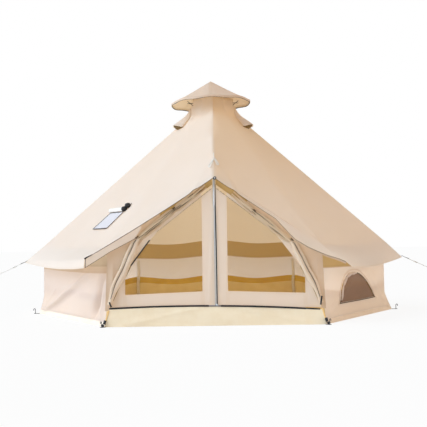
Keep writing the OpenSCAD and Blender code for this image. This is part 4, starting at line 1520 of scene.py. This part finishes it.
for name, hand in HANDS.items():
    x, up = along_path([(0.03 * hand, 1.553), (0.657 * hand, 1.064)], 30).T
    line = front_at(x, up, 0.006 + billow(x, up))
    dashed(f"door_stitches_{name}", line, 0.0024, BROWN_THREAD)
    hem = gable_roof_at(VALANCES[name][0], np.linspace(0, 1, 60), LIP)
    # A dark line along the hem: painted shadow of the gap under it
    sweep(f"roof_hem_shadow_line_{name}", hem, circle(HEM_SHADOW_R[name]), BROWN_THREAD)
sweep("front_valance_left_hem", valance_hem[:36], circle(0.0026), BROWN_THREAD)

# %% Peak and gathered ridge
PIN = LIP_PEAK + (0.011, -0.006, -0.006)
turn = np.linspace(0, TAU, 25)
ring = PIN + 0.014 * np.stack([np.cos(turn), 0 * turn, np.sin(turn)], -1)
sweep("peak_eyelet", ring, circle(0.005, 8), WEBBING, facing=FACING)
pin = PIN + np.array([(0, 0.03, 0), (0, 0, 0), (0, -0.008, 0)])
sweep("peak_pin", pin, circle(0.009, 12), STEEL, "steel")

RIDGE_RUN = (LIP_PEAK[1] - APEX[1]) / (LIP_PEAK[2] - APEX[2])
GABLE_FALL, TAPE_OUT = 0.646, (0, -0.5, 0.8)


def gather_tape(x, z, n, section):
    """A tape just above the roof beside the place where the ridge is gathered."""
    x, z = np.array(x), np.array(z)
    y = GATHER_Y + RIDGE_RUN * (z + GABLE_FALL * np.abs(x)) - 0.030
    path = rounded(np.stack([x, y, GATHER[2] + z], -1), n)
    return sweep("ridge_gather_tapes", path, section, WHITE_TAPE, "canvas", TAPE_OUT)


LOOP_X = np.array((0.004, 0.034, 0.056, 0.048, 0.026, 0.006))
LOOP_Z = np.array((0.015, -0.035, -0.085, -0.092, -0.050, -0.005))
loops = [(-LOOP_X, LOOP_Z), (LOOP_X, LOOP_Z + 0.028)]
tapes = [gather_tape(x, z, 24, strap(0.012, 0.004)) for x, z in loops]
join(*tapes, gather_tape((0.0, 0.004, 0.002), (0.10, 0.05, 0.0), 12, strap(0.010, 0.003)))
print("peak pin at", PIN.round(3))

# %% Ties, tapes and corner straps
TIE_COLLAR, TIE_RIM = np.array((0.265, -0.16, 2.745)), np.array((0.335, -0.24, 2.792))
ties = []
for side in (-1, 1):
    for shift in (0.0, 0.03):
        ends = TIE_COLLAR + (0, 0, shift), TIE_RIM - (0, 0, shift)
        path = along_path(np.array(ends) * (side, 1, 1), 6)
        ties.append(sweep("rain_cap_ties", path, circle(0.004), WEBBING))
join(*ties)
print("ties under the cap:", len(ties))

height = np.linspace(0.64, 0.12, 20)
for name, i in (("right", 0), ("left", 1)):
    path = wall_at(i, 0.985, height / WALL_H, -0.040)
    path[:, 0] += 0.006 * np.sin(17 * height)
    section = strap(0.042, 0.002)
    sweep(f"corner_tape_back_{name}", path, section, WHITE_TAPE, "canvas", FACING)

STRAP_LINE = np.array([(1.200, 0.185), (1.226, 0.10), (1.246, 0.035)])
BUCKLE_LINE = np.array([(1.240, 0.075), (1.252, 0.030)])
RING_LINE = np.array([(1.264, 0.030), (1.276, 0.006)])
for name, hand in HANDS.items():
    line, buckle, ring = [
        along_path(path * (hand, 1), n)
        for path, n in ((STRAP_LINE, 10), (BUCKLE_LINE, 4), (RING_LINE, 4))
    ]
    front_sweep(f"front_corner_strap_{name}", line, 0.016, strap(0.017, 0.003), ORANGE_TAPE)
    block = front_sweep(f"front_corner_buckle_{name}", buckle, 0.022, strap(0.030, 0.012), WEBBING)
    join(block, front_sweep("ring", ring, 0.020, strap(0.034, 0.014), WEBBING))

# %% Toggle and eave tabs
tip = gable_roof_at(4, np.linspace(0, 0.055, 8), LIP) + (0, -0.010, 0.004)
toggle = sweep("hem_toggle_left", tip, circle(0.009, 8), WEBBING, scale=np.linspace(1, 0.35, 8))
cord = np.linspace(tip[0] + (0.012, 0, 0), FRONT_HEM[4] + (0.018, -0.010, 0.010), 6)
join(toggle, sweep("cord", cord, circle(0.003), WEBBING))

TAB_OUT, TAB_UP = np.array([[-0.05], [0.0], [0.05]]), np.array([[0.03], [0.004], [-0.012]])
for name, i in (("right", 0), ("left", 3)):
    away = unit(EAVE[i] * (1, 1, 0))
    path = EAVE[i] + TAB_OUT * away + TAB_UP * (0, 0, 1)
    sweep(f"eave_tab_{name}", path, strap(0.026, 0.004), WEBBING, facing=(0, 0, 1))
print("small fittings: stitches, cords, eyelet, tapes, ties, straps, tabs")

# %% [markdown]
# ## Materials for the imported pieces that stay
#
# Poles, pegs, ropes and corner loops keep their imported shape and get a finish.
# They are hard or taut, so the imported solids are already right.

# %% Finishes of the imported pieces
KEPT = {
    STEEL: ("center_pole", "door_pole"),
    DARK_STEEL: ("corner_pegs", "guy_pegs"),
    WEBBING: ("corner_loops",),
    ROPE: ("guy_rope_right", "guy_rope_left", "guy_rope_back_right", "guy_rope_back_left"),
}
for material, nodes in KEPT.items():
    for node in nodes:
        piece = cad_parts[node]
        for place in piece.material_slots:
            place.material = material
        if not piece.material_slots:
            piece.data.materials.append(material)
print("packed pieces with a finish:", sum(map(len, KEPT.values())))

# %% [markdown]
# ## Light and floor
#
# A broad, cool lamp stands at the upper left and front, a low, warm one on
# the right, and the sky is pale. The floor and sky are white where the camera
# sees them, and the floor keeps part of the tent's shadow. A hard sun would
# draw sharp shadows that the photo doesn't have.

# %% Light
SKY_COLOUR, SKY_STRENGTH, WHITE = (255, 250, 244), 0.405, (1, 1, 1, 1)


def lamp(name, toward, energy, colour, spread):
    """A broad, distant lamp. toward points from the tent to the lamp."""
    piece = bpy.data.objects.new(name, bpy.data.lights.new(name, "SUN"))
    piece.data.energy, piece.data.color = energy, colour
    piece.data.angle = math.radians(spread)
    piece.rotation_euler = Vector(toward).to_track_quat("Z", "Y").to_euler()
    bpy.context.scene.collection.objects.link(piece)


def seen(finish):
    """1 where the camera looks, straight on or by way of gloss or netting."""
    kinds = ("Camera", "Glossy", "Transmission")
    first, second, third = [finish.add("LightPath", out=f"Is {kind} Ray") for kind in kinds]
    return first.most(second).most(third)


lamp("key_lamp", (-0.84, -0.24, 0.50), 3.45, (0.79, 0.90, 1.0), 70)
lamp("fill_lamp", (0.94, -0.28, 0.16), 1.42, (1.0, 0.74, 0.52), 60)
f = Finish("sky", "World")
sky = f.add("Background", {"Color": paint(SKY_COLOUR), "Strength": SKY_STRENGTH})
white = f.add("Background", {"Color": WHITE, "Strength": 1.0})
bpy.context.scene.world = f.done(f.blend(seen(f), sky, white))
bpy.context.scene.view_settings.view_transform = "Standard"
print("lamps:", len(bpy.data.lights))

# %% Floor
FLOOR_HALF, FLOOR_DOWN, FLOOR_GREY, FLOOR_WHITE = 60, 0.001, 0.82, 0.9
f = Finish("floor_white")
shaded = f.add("BsdfDiffuse", {"Color": (FLOOR_GREY, FLOOR_GREY, FLOOR_GREY, 1)})
bright = f.add("Emission", {"Color": WHITE, "Strength": 1.0})
corners = [(x * FLOOR_HALF, y * FLOOR_HALF, 0) for x, y in ((-1, -1), (1, -1), (1, 1), (-1, 1))]
floor = new_mesh("floor", corners, [(0, 1, 2, 3)])
floor.location.z = -FLOOR_DOWN
floor.data.materials.append(f.done(f.blend(seen(f) * FLOOR_WHITE, shaded, bright)))
print("floor:", 2 * FLOOR_HALF, "m across")
